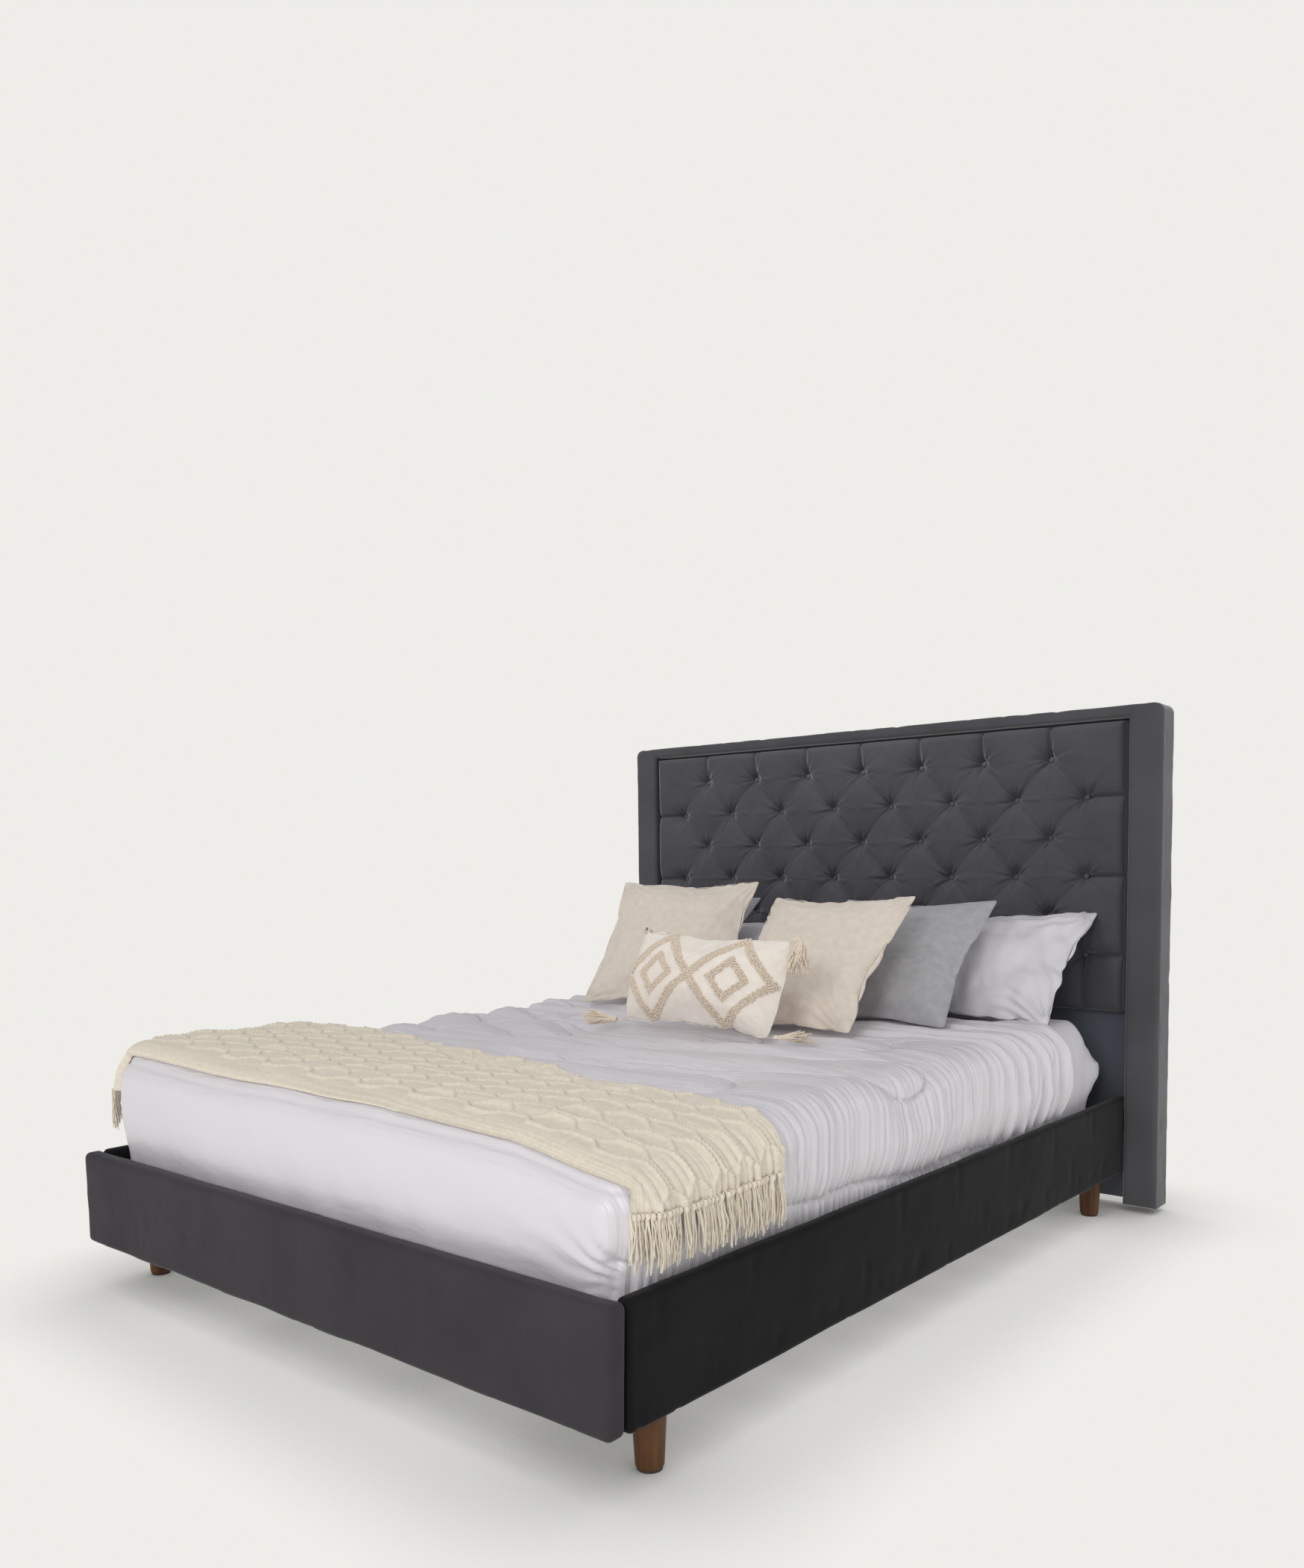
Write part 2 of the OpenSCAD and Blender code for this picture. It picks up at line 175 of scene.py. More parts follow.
def displace(obj, amount):
    """Moves each vertex along its normal by amount(points)."""
    points = points_of(obj)
    normals = read_rows(obj.data.vertex_normals, "vector", 3)
    set_points(obj, points + normals * amount(points)[:, None])


def lines_between(low, high, step, near):
    """Even grid lines from low to high, after closer ones at these distances from both ends."""
    radius = near[-1]
    count = max(1, round((high - low - 2 * radius) / step))
    middle = np.linspace(low + radius, high - radius, count + 1)
    return np.concatenate([low + near[:-1], middle, high - near[-2::-1]])


def ticks(low, high, radius, step, arc):
    """Grid lines that fall evenly over an edge once round_off has rounded it."""
    return lines_between(low, high, step, radius - radius * np.tan(np.linspace(math.pi / 4, 0, arc + 1)))


def edge_lines(low, high, radius, step, arc=5):
    """Grid lines that lie closer over a padded edge at both ends."""
    return lines_between(low, high, step, radius * (1 - np.cos(np.linspace(0, math.pi / 2, arc + 1))))


def round_off(points, low, high, radius):
    """Points of a sharp box moved onto the same box with rounded edges, and the normals there."""
    core = np.clip(points, low + radius, high - radius)
    way = unit((points - core) / radius)
    return core + way * radius, unit(way / radius)


def box_lattice(low, high, radius, step, arc=4, open_sides=()):
    """Points and quads over a sharp box, with lines set for round_off. Open sides are (axis, end)."""
    lines = [ticks(low[a], high[a], radius[a], step[a], arc) for a in range(3)]
    sizes = [len(line) for line in lines]
    keys = []
    for axis in range(3):
        b, c = (axis + 1) % 3, (axis + 2) % 3
        for end in (0, 1):
            if (axis, end) in open_sides:
                continue
            index = np.zeros((sizes[b], sizes[c], 3), int)
            index[..., axis] = end * (sizes[axis] - 1)
            index[..., b] = np.arange(sizes[b])[:, None]
            index[..., c] = np.arange(sizes[c])[None, :]
            key = (index[..., 0] * sizes[1] + index[..., 1]) * sizes[2] + index[..., 2]
            ring = [key[:-1, :-1], key[1:, :-1], key[1:, 1:], key[:-1, 1:]]
            if end == 0:
                ring.reverse()
            keys.append(np.stack(ring, -1).reshape(-1, 4))
    used, quads = np.unique(np.concatenate(keys), return_inverse=True)
    i, rest = np.divmod(used, sizes[1] * sizes[2])
    j, k = np.divmod(rest, sizes[2])
    return np.stack([lines[0][i], lines[1][j], lines[2][k]], 1), quads.reshape(-1, 4)


def rounded_box(name, low, high, radius, step, arc=4):
    """Closed box with rounded edges."""
    low, high = np.array(low, float), np.array(high, float)
    radius, step = np.broadcast_to(radius, 3), np.broadcast_to(step, 3)
    points, quads = box_lattice(low, high, radius, step, arc)
    return quad_mesh(name, round_off(points, low, high, radius)[0], quads)


def open_edges(quads):
    """Edges with one quad only, each in the direction in which its quad runs."""
    edges = np.concatenate([quads[:, [0, 1]], quads[:, [1, 2]], quads[:, [2, 3]], quads[:, [3, 0]]])
    size = edges.max() + 1
    there = edges[:, 0] * size + edges[:, 1]
    back = edges[:, 1] * size + edges[:, 0]
    return edges[~np.isin(there, back)]


def two_sided(front, back, quads, rim=2, bulge=None):
    """Closed body between two sheets of the same quads. rim rings join them; bulge pushes the rings out."""
    count = len(front)
    edges = open_edges(quads)
    rim_ids = np.unique(edges)
    place = np.full(count, -1)
    place[rim_ids] = np.arange(len(rim_ids))
    rings = [rim_ids]
    points = [front, back]
    total = 2 * count
    for n in range(1, rim + 1):
        angle = math.pi * n / (rim + 1)
        middle = (front[rim_ids] + back[rim_ids]) / 2
        half = (front[rim_ids] - back[rim_ids]) / 2
        ring = middle + half * math.cos(angle)
        if bulge is not None:
            reach = np.linalg.norm(half, axis=1)[:, None]
            ring = ring + bulge[rim_ids] * reach * math.sin(angle)
        points.append(ring)
        rings.append(total + np.arange(len(rim_ids)))
        total += len(rim_ids)
    rings.append(rim_ids + count)
    faces = [quads, quads[:, ::-1] + count]
    a, b = place[edges[:, 0]], place[edges[:, 1]]
    for upper, lower in zip(rings[:-1], rings[1:]):
        faces.append(np.stack([upper[b], upper[a], lower[a], lower[b]], 1))
    return np.concatenate(points), np.concatenate(faces)


def grid(us, vs):
    """Both coordinates of every point of a grid, column by column."""
    return [m.ravel() for m in np.meshgrid(us, vs, indexing="ij")]


def grid_quads(columns, rows, keep=None):
    """Quads of such a grid. They face -Y when columns run along X and rows along Z."""
    ids = np.arange(columns * rows).reshape(columns, rows)
    quads = np.stack([ids[:-1, :-1], ids[1:, :-1], ids[1:, 1:], ids[:-1, 1:]], -1)
    return quads[keep] if keep is not None else quads.reshape(-1, 4)


def drop_unused(points, quads):
    """Only the points that a quad uses, and the quads renumbered to match."""
    used, renamed = np.unique(quads, return_inverse=True)
    return points[used], renamed.reshape(-1, 4)


def padded_edge(inset, radius):
    """How far a padded face falls back at this distance from its edge."""
    s = np.clip(inset, 0, radius)
    return radius - np.sqrt(np.maximum(radius ** 2 - (radius - s) ** 2, 0))


SIDEWAYS = (0.31, 0.17, 0.93)   # no tube runs along this


def full_turn(sides):
    """Angles of evenly spread points round a circle."""
    return 2 * math.pi * np.arange(sides) / sides


def ring_quads(rings, sides, closed=False):
    """Quads between rings of points, each ring stored after the one before it."""
    count = rings if closed else rings - 1
    a = np.arange(count)[:, None] * sides
    b = (np.arange(1, count + 1)[:, None] % rings) * sides
    k = np.arange(sides)
    k2 = (k + 1) % sides
    return np.stack([a + k, a + k2, b + k2, b + k], -1).reshape(-1, 4)


def tube(path, radius, sides=5, closed=False):
    """Points and quads of a thin tube along a path. radius is one number or one per point."""
    path = np.asarray(path, float)
    count = len(path)
    if closed:
        way = np.roll(path, -1, 0) - np.roll(path, 1, 0)
    else:
        way = np.gradient(path, axis=0)
    way = unit(way)
    side = unit(np.cross(way, SIDEWAYS))
    other = np.cross(way, side)
    turn = full_turn(sides)
    ring = side[:, None] * np.cos(turn)[None, :, None] + other[:, None] * np.sin(turn)[None, :, None]
    points = path[:, None] + ring * np.broadcast_to(radius, count)[:, None, None]
    return points.reshape(-1, 3), ring_quads(count, sides, closed)


class Heap:
    """Collects many small pieces into one mesh."""

    def __init__(self):
        self.points = []
        self.quads = []
        self.count = 0

    def add(self, points, quads):
        self.points.append(points)
        self.quads.append(np.asarray(quads) + self.count)
        self.count += len(points)

    def build(self, name):
        return quad_mesh(name, np.concatenate(self.points), np.concatenate(self.quads))


# ---- materials ----


def set_inputs(node, values):
    for socket, value in values.items():
        node.inputs[socket].default_value = value


def new_node(nodes, kind, values):
    """Shader node of this kind with these input values."""
    node = nodes.new("ShaderNode" + kind)
    set_inputs(node, values)
    return node


def node_noise(nodes, links, coordinates, cell, detail, stretch):
    """Output of a noise texture with this grain, stretched along the object's axes."""
    mapping = new_node(nodes, "Mapping", {"Scale": stretch})
    links.new(coordinates, mapping.inputs["Vector"])
    noise = new_node(nodes, "TexNoise", {"Scale": 1 / cell, "Detail": detail})
    links.new(mapping.outputs["Vector"], noise.inputs["Vector"])
    return noise.outputs["Fac"]


def finish_of(name, dark, light, roughness, cell, grain, relief, extra=None, stretch=(1, 1, 1)):
    """Material whose colour drifts between two shades, with a fine bump."""
    material = bpy.data.materials.new(name)
    material.use_nodes = True
    nodes, links = material.node_tree.nodes, material.node_tree.links
    shader = nodes["Principled BSDF"]
    set_inputs(shader, {"Roughness": roughness, **(extra or {})})
    coordinates = nodes.new("ShaderNodeTexCoord").outputs["Object"]
    ramp = nodes.new("ShaderNodeValToRGB")
    for element, position, shade in zip(ramp.color_ramp.elements, (0.3, 0.7), (dark, light)):
        element.position = position
        element.color = (*shade, 1)
    links.new(node_noise(nodes, links, coordinates, cell, 4, stretch), ramp.inputs["Fac"])
    links.new(ramp.outputs["Color"], shader.inputs["Base Color"])
    bump = new_node(nodes, "Bump", {"Strength": 0.5, "Distance": relief})
    links.new(node_noise(nodes, links, coordinates, grain, 2, stretch), bump.inputs["Height"])
    links.new(bump.outputs["Normal"], shader.inputs["Normal"])
    return material


PILE = {"Sheen Weight": 0.55, "Sheen Roughness": 0.35, "Specular IOR Level": 0.15}
DULL_PILE = {"Sheen Weight": 0.15, "Sheen Roughness": 0.35, "Specular IOR Level": 0.1}
CLOTH = {"Specular IOR Level": 0.2, "Sheen Weight": 0.15}
SATEEN = {"Specular IOR Level": 0.8}
LACQUER = {"Specular IOR Level": 0.3}
METAL = {"Metallic": 1.0}
# Each row: dark and light shade, roughness, size of the drift between them, size and height of the fine
# bump, then the shader's other inputs and the stretch of both patterns.
FINISHES = {
    "velvet": ((0.073, 0.073, 0.082), (0.095, 0.095, 0.107), 0.8, 0.20, 0.0016, 0.0006, PILE),
    # Darker copy of the velvet for the tufted pad: painted shade that offsets the lamp lighting only the pad.
    "velvet_tufted": ((0.048, 0.048, 0.056), (0.062, 0.062, 0.071), 0.8, 0.20, 0.0016, 0.0006, PILE),
    # Lighter, bluer copy for the recessed panel: painted light in place of light the recess lacks.
    "velvet_panel": ((0.082, 0.093, 0.115), (0.100, 0.112, 0.135), 0.8, 0.20, 0.0016, 0.0006, PILE),
    # Darker, duller copy for the footboard: painted shade of its front.
    "velvet_foot": ((0.040, 0.037, 0.042), (0.056, 0.052, 0.058), 0.8, 0.25, 0.0016, 0.0006, DULL_PILE),
    # Much darker copy for the side rails: painted shade of sides turned away from the lamps.
    "velvet_rail": ((0.008, 0.0074, 0.0088), (0.014, 0.0128, 0.0145), 0.85, 0.20, 0.0016, 0.0006, DULL_PILE),
    "white_cotton": ((0.70, 0.675, 0.72), (0.74, 0.715, 0.76), 0.6, 0.2, 0.0012, 0.0002, SATEEN),
    "gathered_cotton": ((0.73, 0.705, 0.75), (0.77, 0.745, 0.79), 0.42, 0.1, 0.0070, 0.0060, SATEEN,
                        (0.08, 1, 0.08)),
    "ticking": ((0.74, 0.74, 0.72), (0.80, 0.80, 0.78), 0.85, 0.03, 0.003, 0.0006, CLOTH),
    "cream_knit": ((0.78, 0.70, 0.585), (0.86, 0.79, 0.67), 0.9, 0.01, 0.0025, 0.0012, CLOTH),
    "grey_linen": ((0.37, 0.37, 0.39), (0.44, 0.44, 0.46), 0.9, 0.02, 0.0015, 0.0006, CLOTH),
    "beige_linen": ((0.72, 0.64, 0.555), (0.79, 0.715, 0.63), 0.9, 0.02, 0.0018, 0.0006, CLOTH),
    "cream_cotton": ((0.87, 0.80, 0.72), (0.93, 0.87, 0.80), 0.9, 0.02, 0.002, 0.0006, CLOTH),
    "tan_yarn": ((0.80, 0.69, 0.56), (0.89, 0.79, 0.67), 0.95, 0.006, 0.0015, 0.001, CLOTH),
    "walnut": ((0.055, 0.020, 0.006), (0.15, 0.062, 0.022), 0.45, 0.02, 0.002, 0.0003, LACQUER, (1, 1, 0.15)),
    "pine": ((0.50, 0.34, 0.19), (0.66, 0.49, 0.30), 0.6, 0.02, 0.003, 0.0003, None, (0.08, 1, 1)),
    "plywood": ((0.46, 0.32, 0.19), (0.60, 0.45, 0.29), 0.65, 0.02, 0.003, 0.0003, None, (0.2, 1, 1)),
    "steel": ((0.45, 0.46, 0.48), (0.60, 0.61, 0.63), 0.35, 0.01, 0.001, 0.0001, METAL),
    "black_steel": ((0.02, 0.02, 0.022), (0.03, 0.03, 0.033), 0.45, 0.02, 0.0015, 0.0001),
    "black_plastic": ((0.02, 0.02, 0.02), (0.03, 0.03, 0.03), 0.6, 0.02, 0.001, 0.0001),
    "felt": ((0.04, 0.035, 0.03), (0.07, 0.06, 0.05), 0.95, 0.004, 0.001, 0.0008),
    "lining": ((0.012, 0.012, 0.013), (0.022, 0.022, 0.024), 0.95, 0.01, 0.001, 0.0003),
}
MATERIALS = {name: finish_of(name, *finish) for name, finish in FINISHES.items()}


def make_piece(obj, body, slot, replaced=(), material=None):
    """Gives a finished piece its material, by default the one named after its slot, and its body, and hides
    the CAD nodes it stands for.
    """
    obj.data.materials.clear()
    obj.data.materials.append(MATERIALS[material or slot])
    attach(obj, body)
    if replaced:
        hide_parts(*replaced)


def keep_cad_nodes():
    """CAD nodes that are shown as they are get their slot's material."""
    for part in frame["record"]["subparts"]:
        node = frame["nodes"][part["node"]]
        if not node.hide_render:
            node.data.materials.clear()
            node.data.materials.append(MATERIALS[part["material_slot"]])


# ---- velvet frame ----


def velvet_hand(points):
    """Small hollows and soft ripples of velvet stretched over foam."""
    soft = 0.0011 * value_noise(points, 0.11, 1)
    ripple = 0.0006 * value_noise(points, (0.05, 0.05, 0.02), 2)
    crease = np.clip(value_noise(points, (0.016, 0.016, 0.05), 3) - 0.45, 0, 1)
    return soft + ripple - 0.0050 * crease


def build_footboard():
    low = (-X_RAIL, Y_FOOT, Z_RAIL_LOW)
    high = (X_RAIL, Y_FOOT + FOOTBOARD_THICK, Z_RAIL_TOP)
    board = rounded_box("footboard", low, high, 0.013, (0.012, 0.008, 0.008))
    displace(board, velvet_hand)
    points = points_of(board)
    end = ease(np.abs(points[:, 0]), X_RAIL - 0.10, X_RAIL)
    lower = 1 - ease(points[:, 2], Z_RAIL_LOW, Z_RAIL_TOP - 0.04)
    points[:, 0] -= np.sign(points[:, 0]) * 0.004 * end * lower
    set_points(board, points)
    # The footboard's velvet copy is darker: painted shade.
    make_piece(board, "bed_frame", "velvet", ["footboard_core", "footboard_cover"], "velvet_foot")


def build_rail(name, side):
    low = (X_RAIL - RAIL_THICK, Y_RAIL_FOOT, Z_RAIL_LOW)
    high = (X_RAIL, Y_RECESS - 0.0006, Z_RAIL_TOP)
    rail = rounded_box(name + "_rail", low, high, 0.011, (0.008, 0.012, 0.008))
    displace(rail, velvet_hand)
    if side < 0:
        mirror_x(rail)
    # The rails' velvet copy is much darker: painted shade of the sides.
    make_piece(rail, "bed_frame", "velvet", [name + "_rail_core", name + "_rail_cover"], "velvet_rail")


def mirror_x(obj):
    points = points_of(obj)
    points[:, 0] *= -1
    set_points(obj, points)
    obj.data.flip_normals()


def build_border():
    """One padded band up the left side, over the top and down the right side of the headboard."""
    radius = 0.013
    outer_round = 0.026
    side = edge_lines(X_BORDER_IN, X_BOARD, radius, 0.012)
    across = np.linspace(-X_BORDER_IN, X_BORDER_IN, 140)[1:-1]
    us = np.concatenate([-side[::-1], across, side])
    lower = edge_lines(Z_BOARD_LOW, Z_BORDER_UNDER, radius, 0.012)
    lower = lower[lower < Z_BORDER_UNDER - radius]
    upper = edge_lines(Z_BORDER_UNDER, Z_BOARD, radius, 0.006)
    vs = np.concatenate([lower, upper])
    u, v = grid(us, vs)
    mid_u, mid_v = (us[1:] + us[:-1]) / 2, (vs[1:] + vs[:-1]) / 2
    keep = (np.abs(mid_u)[:, None] > X_BORDER_IN) | (mid_v[None, :] > Z_BORDER_UNDER)
    quads = grid_quads(len(us), len(vs), keep)

    inner = np.hypot(np.maximum(np.abs(u) - X_BORDER_IN, 0), np.maximum(v - Z_BORDER_UNDER, 0))
    to_corner = np.stack([np.abs(u) - (X_BOARD - outer_round), v - (Z_BOARD - outer_round)], 1)
    in_corner = (to_corner > 0).all(1)
    reach = np.linalg.norm(to_corner, axis=1)
    shrink = np.where(in_corner, to_corner.max(1) / np.maximum(reach, 1e-9), 1)
    edge = np.minimum(X_BOARD - np.abs(u), np.minimum(Z_BOARD - v, v - Z_BOARD_LOW))
    edge = np.where(in_corner, outer_round - to_corner.max(1), edge)
    x = np.where(in_corner, np.sign(u) * (X_BOARD - outer_round + to_corner[:, 0] * shrink), u)
    z = np.where(in_corner, Z_BOARD - outer_round + to_corner[:, 1] * shrink, v)
    fall = padded_edge(np.minimum(inner, edge), radius)
    front = np.stack([x, Y_BORDER + fall, z], 1)
    back = np.stack([x, Y_HEAD - 0.4 * fall, z], 1)
    both = np.concatenate([front, back], 1)
    both, quads = drop_unused(both, quads)
    border = quad_mesh("headboard_border", *two_sided(both[:, :3], both[:, 3:], quads, rim=9))
    displace(border, velvet_hand)
    make_piece(border, "bed_frame", "velvet",
               ["headboard_left_post", "headboard_right_post", "headboard_top_board",
                "left_border_cover", "right_border_cover", "top_border_cover"])


def build_recess_panel():
    panel = rounded_box("recess_panel_cover", (-X_BORDER_IN + 0.001, Y_RECESS, 0.026),
                        (X_BORDER_IN - 0.001, Y_RECESS + 0.012, Z_BORDER_UNDER), 0.004, (0.02, 0.01, 0.02))
    # The panel's velvet copy is lighter and bluer: painted light in the recess.
    make_piece(panel, "bed_frame", "velvet", ["recess_panel"], "velvet_panel")


# ---- tufted headboard ----


def button_places():
    """Rows of seven and eight buttons in turn, each button as (x, z)."""
    rows = []
    for row in range(6):
        count = 7 if row % 2 == 0 else 8
        z = FIRST_ROW - row * BUTTON_ROW
        rows.append([((i - (count - 1) / 2) * BUTTON_PITCH, z) for i in range(count)])
    return rows


def fold_lines(rows):
    """Creases between neighbouring buttons, and the straight pleats that run out to the pad's edges."""
    folds = []
    for upper, lower in zip(rows[:-1], rows[1:]):
        for a in upper:
            folds += [(a, b) for b in lower if abs(a[0] - b[0]) < 0.6 * BUTTON_PITCH]
    pleats = [(a, (a[0], PAD_TOP)) for a in rows[0]]
    pleats += [(a, (a[0], PAD_LOW)) for a in rows[-1]]
    for row in rows[1::2]:
        for end in (row[0], row[-1]):
            pleats.append((end, (math.copysign(PAD_X, end[0]), end[1])))
    return folds, pleats


def segment_distance(x, z, a, b):
    """Distance to a segment, and how far along it from 0 to 1."""
    dx, dz = b[0] - a[0], b[1] - a[1]
    t = np.clip(((x - a[0]) * dx + (z - a[1]) * dz) / (dx * dx + dz * dz), 0, 1)
    return np.hypot(x - a[0] - t * dx, z - a[1] - t * dz), t


def tuft_depth(x, z):
    """How far the tufted face lies behind its highest part."""
    rng = np.random.default_rng(11)
    rows = button_places()
    folds, pleats = fold_lines(rows)
    depth = np.zeros(len(x))
    for a, b in folds:
        near = (np.abs(x - (a[0] + b[0]) / 2) < 0.12) & (np.abs(z - (a[1] + b[1]) / 2) < 0.12)
        d, t = segment_distance(x[near], z[near], a, b)
        shift = 0.004 * np.sin(math.pi * t) * rng.uniform(-1, 1)
        strength = rng.uniform(0.6, 1.1)
        ends = 1 - 0.65 * np.sin(math.pi * t)
        valley = 0.0055 * bell(d, 0.028)
        line = 0.0058 * bell(d + shift, 0.0040) * ends
        twin = 0.0045 * bell(d - 0.010 + shift, 0.0038) * ends ** 2
        depth[near] = np.maximum(depth[near], strength * (valley + line + twin))
    for a, b in pleats:
        d, t = segment_distance(x, z, a, b)
        straight = 0.0110 * bell(d, 0.0060) + 0.0110 * bell(d, 0.026)
        depth = np.maximum(depth, straight * (1 - 0.25 * t))
    for row in rows:
        for bx, bz in row:
            near = np.hypot(x - bx, z - bz) < 0.11
            dx, dz = x[near] - bx, z[near] - bz
            d, angle = np.hypot(dx, dz), np.arctan2(dz, dx)
            phase = rng.uniform(0, 6.28, 4)
            rays = (np.sin(7 * angle + phase[0]) + 0.8 * np.sin(12 * angle + phase[1])
                    + 0.6 * np.sin(18 * angle + phase[2]) + 0.5 * np.sin(5 * angle + phase[3]))
            pucker = 0.0040 * rays * np.exp(-d / 0.030) * (1 - bell(d, 0.014))
            depth[near] += 0.0200 * np.exp(-((d / 0.016) ** 1.3)) + 0.0150 * np.exp(-d / 0.040) + pucker
    return depth


def build_tufted_pad():
    step = 0.0032
    radius = 0.016
    us = edge_lines(-PAD_X, PAD_X, radius, step)
    vs = edge_lines(PAD_LOW, PAD_TOP, radius, step)
    u, v = grid(us, vs)
    inset = np.minimum(PAD_X - np.abs(u), np.minimum(v - PAD_LOW, PAD_TOP - v))
    fall = padded_edge(inset, radius) + 0.006 * np.exp(-inset / 0.02)
    shape = np.stack([u, np.zeros(len(u)), v], 1)
    drift = 0.0012 * value_noise(shape, 0.09, 5) + 0.0004 * value_noise(shape, 0.03, 6)
    y = PAD_FRONT + fall + tuft_depth(u, v) * ease(inset, -0.004, 0.006) + drift
    front = np.stack([u, np.minimum(y, Y_RECESS - 0.012), v], 1)
    back = np.stack([u, np.full(len(u), Y_RECESS - 0.0002), v], 1)
    pad = quad_mesh("tufted_headboard", *two_sided(front, back, grid_quads(len(us), len(vs)), rim=4))
    # The pad's velvet copy is darker: painted shade that offsets its own lamp.
    make_piece(pad, "bed_frame", "velvet", ["tufted_pad", "tufted_board"], "velvet_tufted")


def build_buttons():
    """Small domed buttons, covered in the same velvet, sunk into the tufts."""
    heap = Heap()
    profile_r = np.array([0.0001, 0.0032, 0.0060, 0.0078, 0.0085, 0.0080, 0.0030])
    profile_y = np.array([0.0000, 0.0004, 0.0014, 0.0030, 0.0052, 0.0070, 0.0090])
    turn = full_turn(BUTTON_SIDES)
    for row in button_places():
        for bx, bz in row:
            x = bx + profile_r[:, None] * np.cos(turn)
            z = bz + profile_r[:, None] * np.sin(turn)
            y = np.broadcast_to(BUTTON_FRONT + profile_y[:, None], x.shape)
            points = np.stack([x, y, z], -1).reshape(-1, 3)
            heap.add(points, ring_quads(len(profile_r), BUTTON_SIDES))
    buttons = heap.build("buttons")
    make_piece(buttons, "bed_frame", "velvet", ["tufting_buttons"])


# ---- legs ----


def build_leg(name, x, y):
    """Turned leg: tapered, with a softly rounded foot."""
    profile = np.array([  # radius and height
        (0.0010, 0.0030), (0.0195, 0.0030), (0.0215, 0.0035), (0.0232, 0.0050),
        (0.0243, 0.0080), (0.0247, 0.0120), (0.0262, 0.0400), (0.0282, 0.0800),
        (0.0295, 0.1035), (0.0293, 0.1055), (0.0285, 0.1058), (0.0010, 0.1058)])
    radii, heights = profile.T[:, :, None]
    turn = full_turn(LEG_SIDES)
    rings = np.broadcast_arrays(x + radii * np.cos(turn), y + radii * np.sin(turn), heights)
    leg = quad_mesh(name + "_turned", np.stack(rings, -1).reshape(-1, 3), ring_quads(len(profile), LEG_SIDES))
    make_piece(leg, "bed_frame", "walnut", [name])


# ---- mattress, sheet and comforter ----


def settled(points):
    """How far the foot end sinks towards its right corner; it rises a little at the left one."""
    x, y, z = points.T
    right = 0.022 * ease(x, -0.2, 0.75) + 0.034 * ease(x, 0.52, 0.83)
    sink = right - 0.012 * ease(-x, 0.3, 0.8)
    return sink * ease(-y, 0.35, 0.95) * ease(z, 0.33, 0.54)


def pulled_tight(points):
    """The points with the head end's rounded upper edge turned into a slope, as the sheet pulls it."""
    start = SHEET_HIGH - SHEET_ROUND
    u = np.maximum((points[:, 1] - start[1]) / SHEET_ROUND[1], 0)
    w = np.maximum((points[:, 2] - start[2]) / SHEET_ROUND[2], 0)
    share = np.arctan2(u, w) / (math.pi / 2)
    reach = np.hypot(u, w)
    inside = 0.85 * ((u > 0) & (w > 0))
    moved = points.copy()
    moved[:, 1] += inside * (share * reach - u) * SHEET_ROUND[1]
    moved[:, 2] += inside * ((1 - share) * reach - w) * SHEET_ROUND[2]
    return moved


def build_mattress():
    mattress = rounded_box("mattress_core", MATTRESS_LOW, MATTRESS_HIGH, MATTRESS_ROUND, 0.04)
    displace(mattress, lambda p: 0.001 * value_noise(p, 0.2, 7) - 0.003)
    points = pulled_tight(points_of(mattress))
    points[:, 1] -= tucked_in(points)
    points[:, 2] -= settled(points)
    set_points(mattress, points)
    make_piece(mattress, "mattress", "ticking", ["mattress"])


def tucked_in(points):
    """How far the head end draws in towards the slats."""
    low = 1 - ease(points[:, 2], SHEET_LOW[2], SHEET_LOW[2] + 0.13)
    return 0.040 * low * ease(points[:, 1], 0.80, 0.98)


def sheet_creases(points, normals):
    """Folds where the sheet is pulled round the mattress's end, and fine ones along its sides."""
    x, y, z = points.T
    end = ease(y, 0.80, 0.96)
    wide = value_noise(points, (0.30, 0.10, 0.045), 21)
    fine = value_noise(points, (0.10, 0.05, 0.016), 22)
    line = z + 0.05 * (y - 0.95) - 0.012 * np.sin(x * 9)
    fold = bell(line - 0.412, 0.007) + 0.7 * bell(line - 0.372, 0.006)
    drape = 0.0040 * wide + 0.0022 * fine + 0.0040 * fold * end
    side = ease(np.abs(normals[:, 0]), 0.4, 0.9)
    gathers = 0.0016 * value_noise(points, (0.05, 0.014, 0.12), 23) * side
    return drape * (0.25 + 0.75 * end) + gathers


def build_sheet():
    """Fitted sheet: top, four sides, open below."""
    points, quads = box_lattice(SHEET_LOW, SHEET_HIGH, SHEET_ROUND, (0.012, 0.012, 0.010), 8, [(2, 0)])
    outer, normals = round_off(points, SHEET_LOW - [0, 0, 1], SHEET_HIGH, SHEET_ROUND)
    bag = 1 - ease(outer[:, 2], SHEET_LOW[2] + 0.02, SHEET_LOW[2] + 0.12)
    amount = np.minimum(sheet_creases(outer, normals), 0.009) - 0.002 * bag
    lift = np.where(outer[:, 1] > 0.60, amount, np.minimum(amount, 0.0))
    outer = pulled_tight(outer) + normals * lift[:, None]
    outer[:, 1] = np.minimum(outer[:, 1], SHEET_END) - tucked_in(outer)
    tip = ease(outer[:, 1], 0.86, 1.0) * bell(outer[:, 2] - 0.395, 0.05)
    outer[:, 0] *= 1 - 0.012 * ease(outer[:, 1], 0.58, 0.68) + 0.030 * tip
    fuller = ease(outer[:, 1], 0.60, 0.67) * ease(outer[:, 2], 0.38, 0.50)
    outer[:, 2] += 0.016 * fuller - settled(outer)
    inner = outer - normals * 0.0018
    sheet = quad_mesh("fitted_sheet_cover", *two_sided(outer, inner, quads, rim=1))
    make_piece(sheet, "mattress", "white_cotton", ["fitted_sheet"])


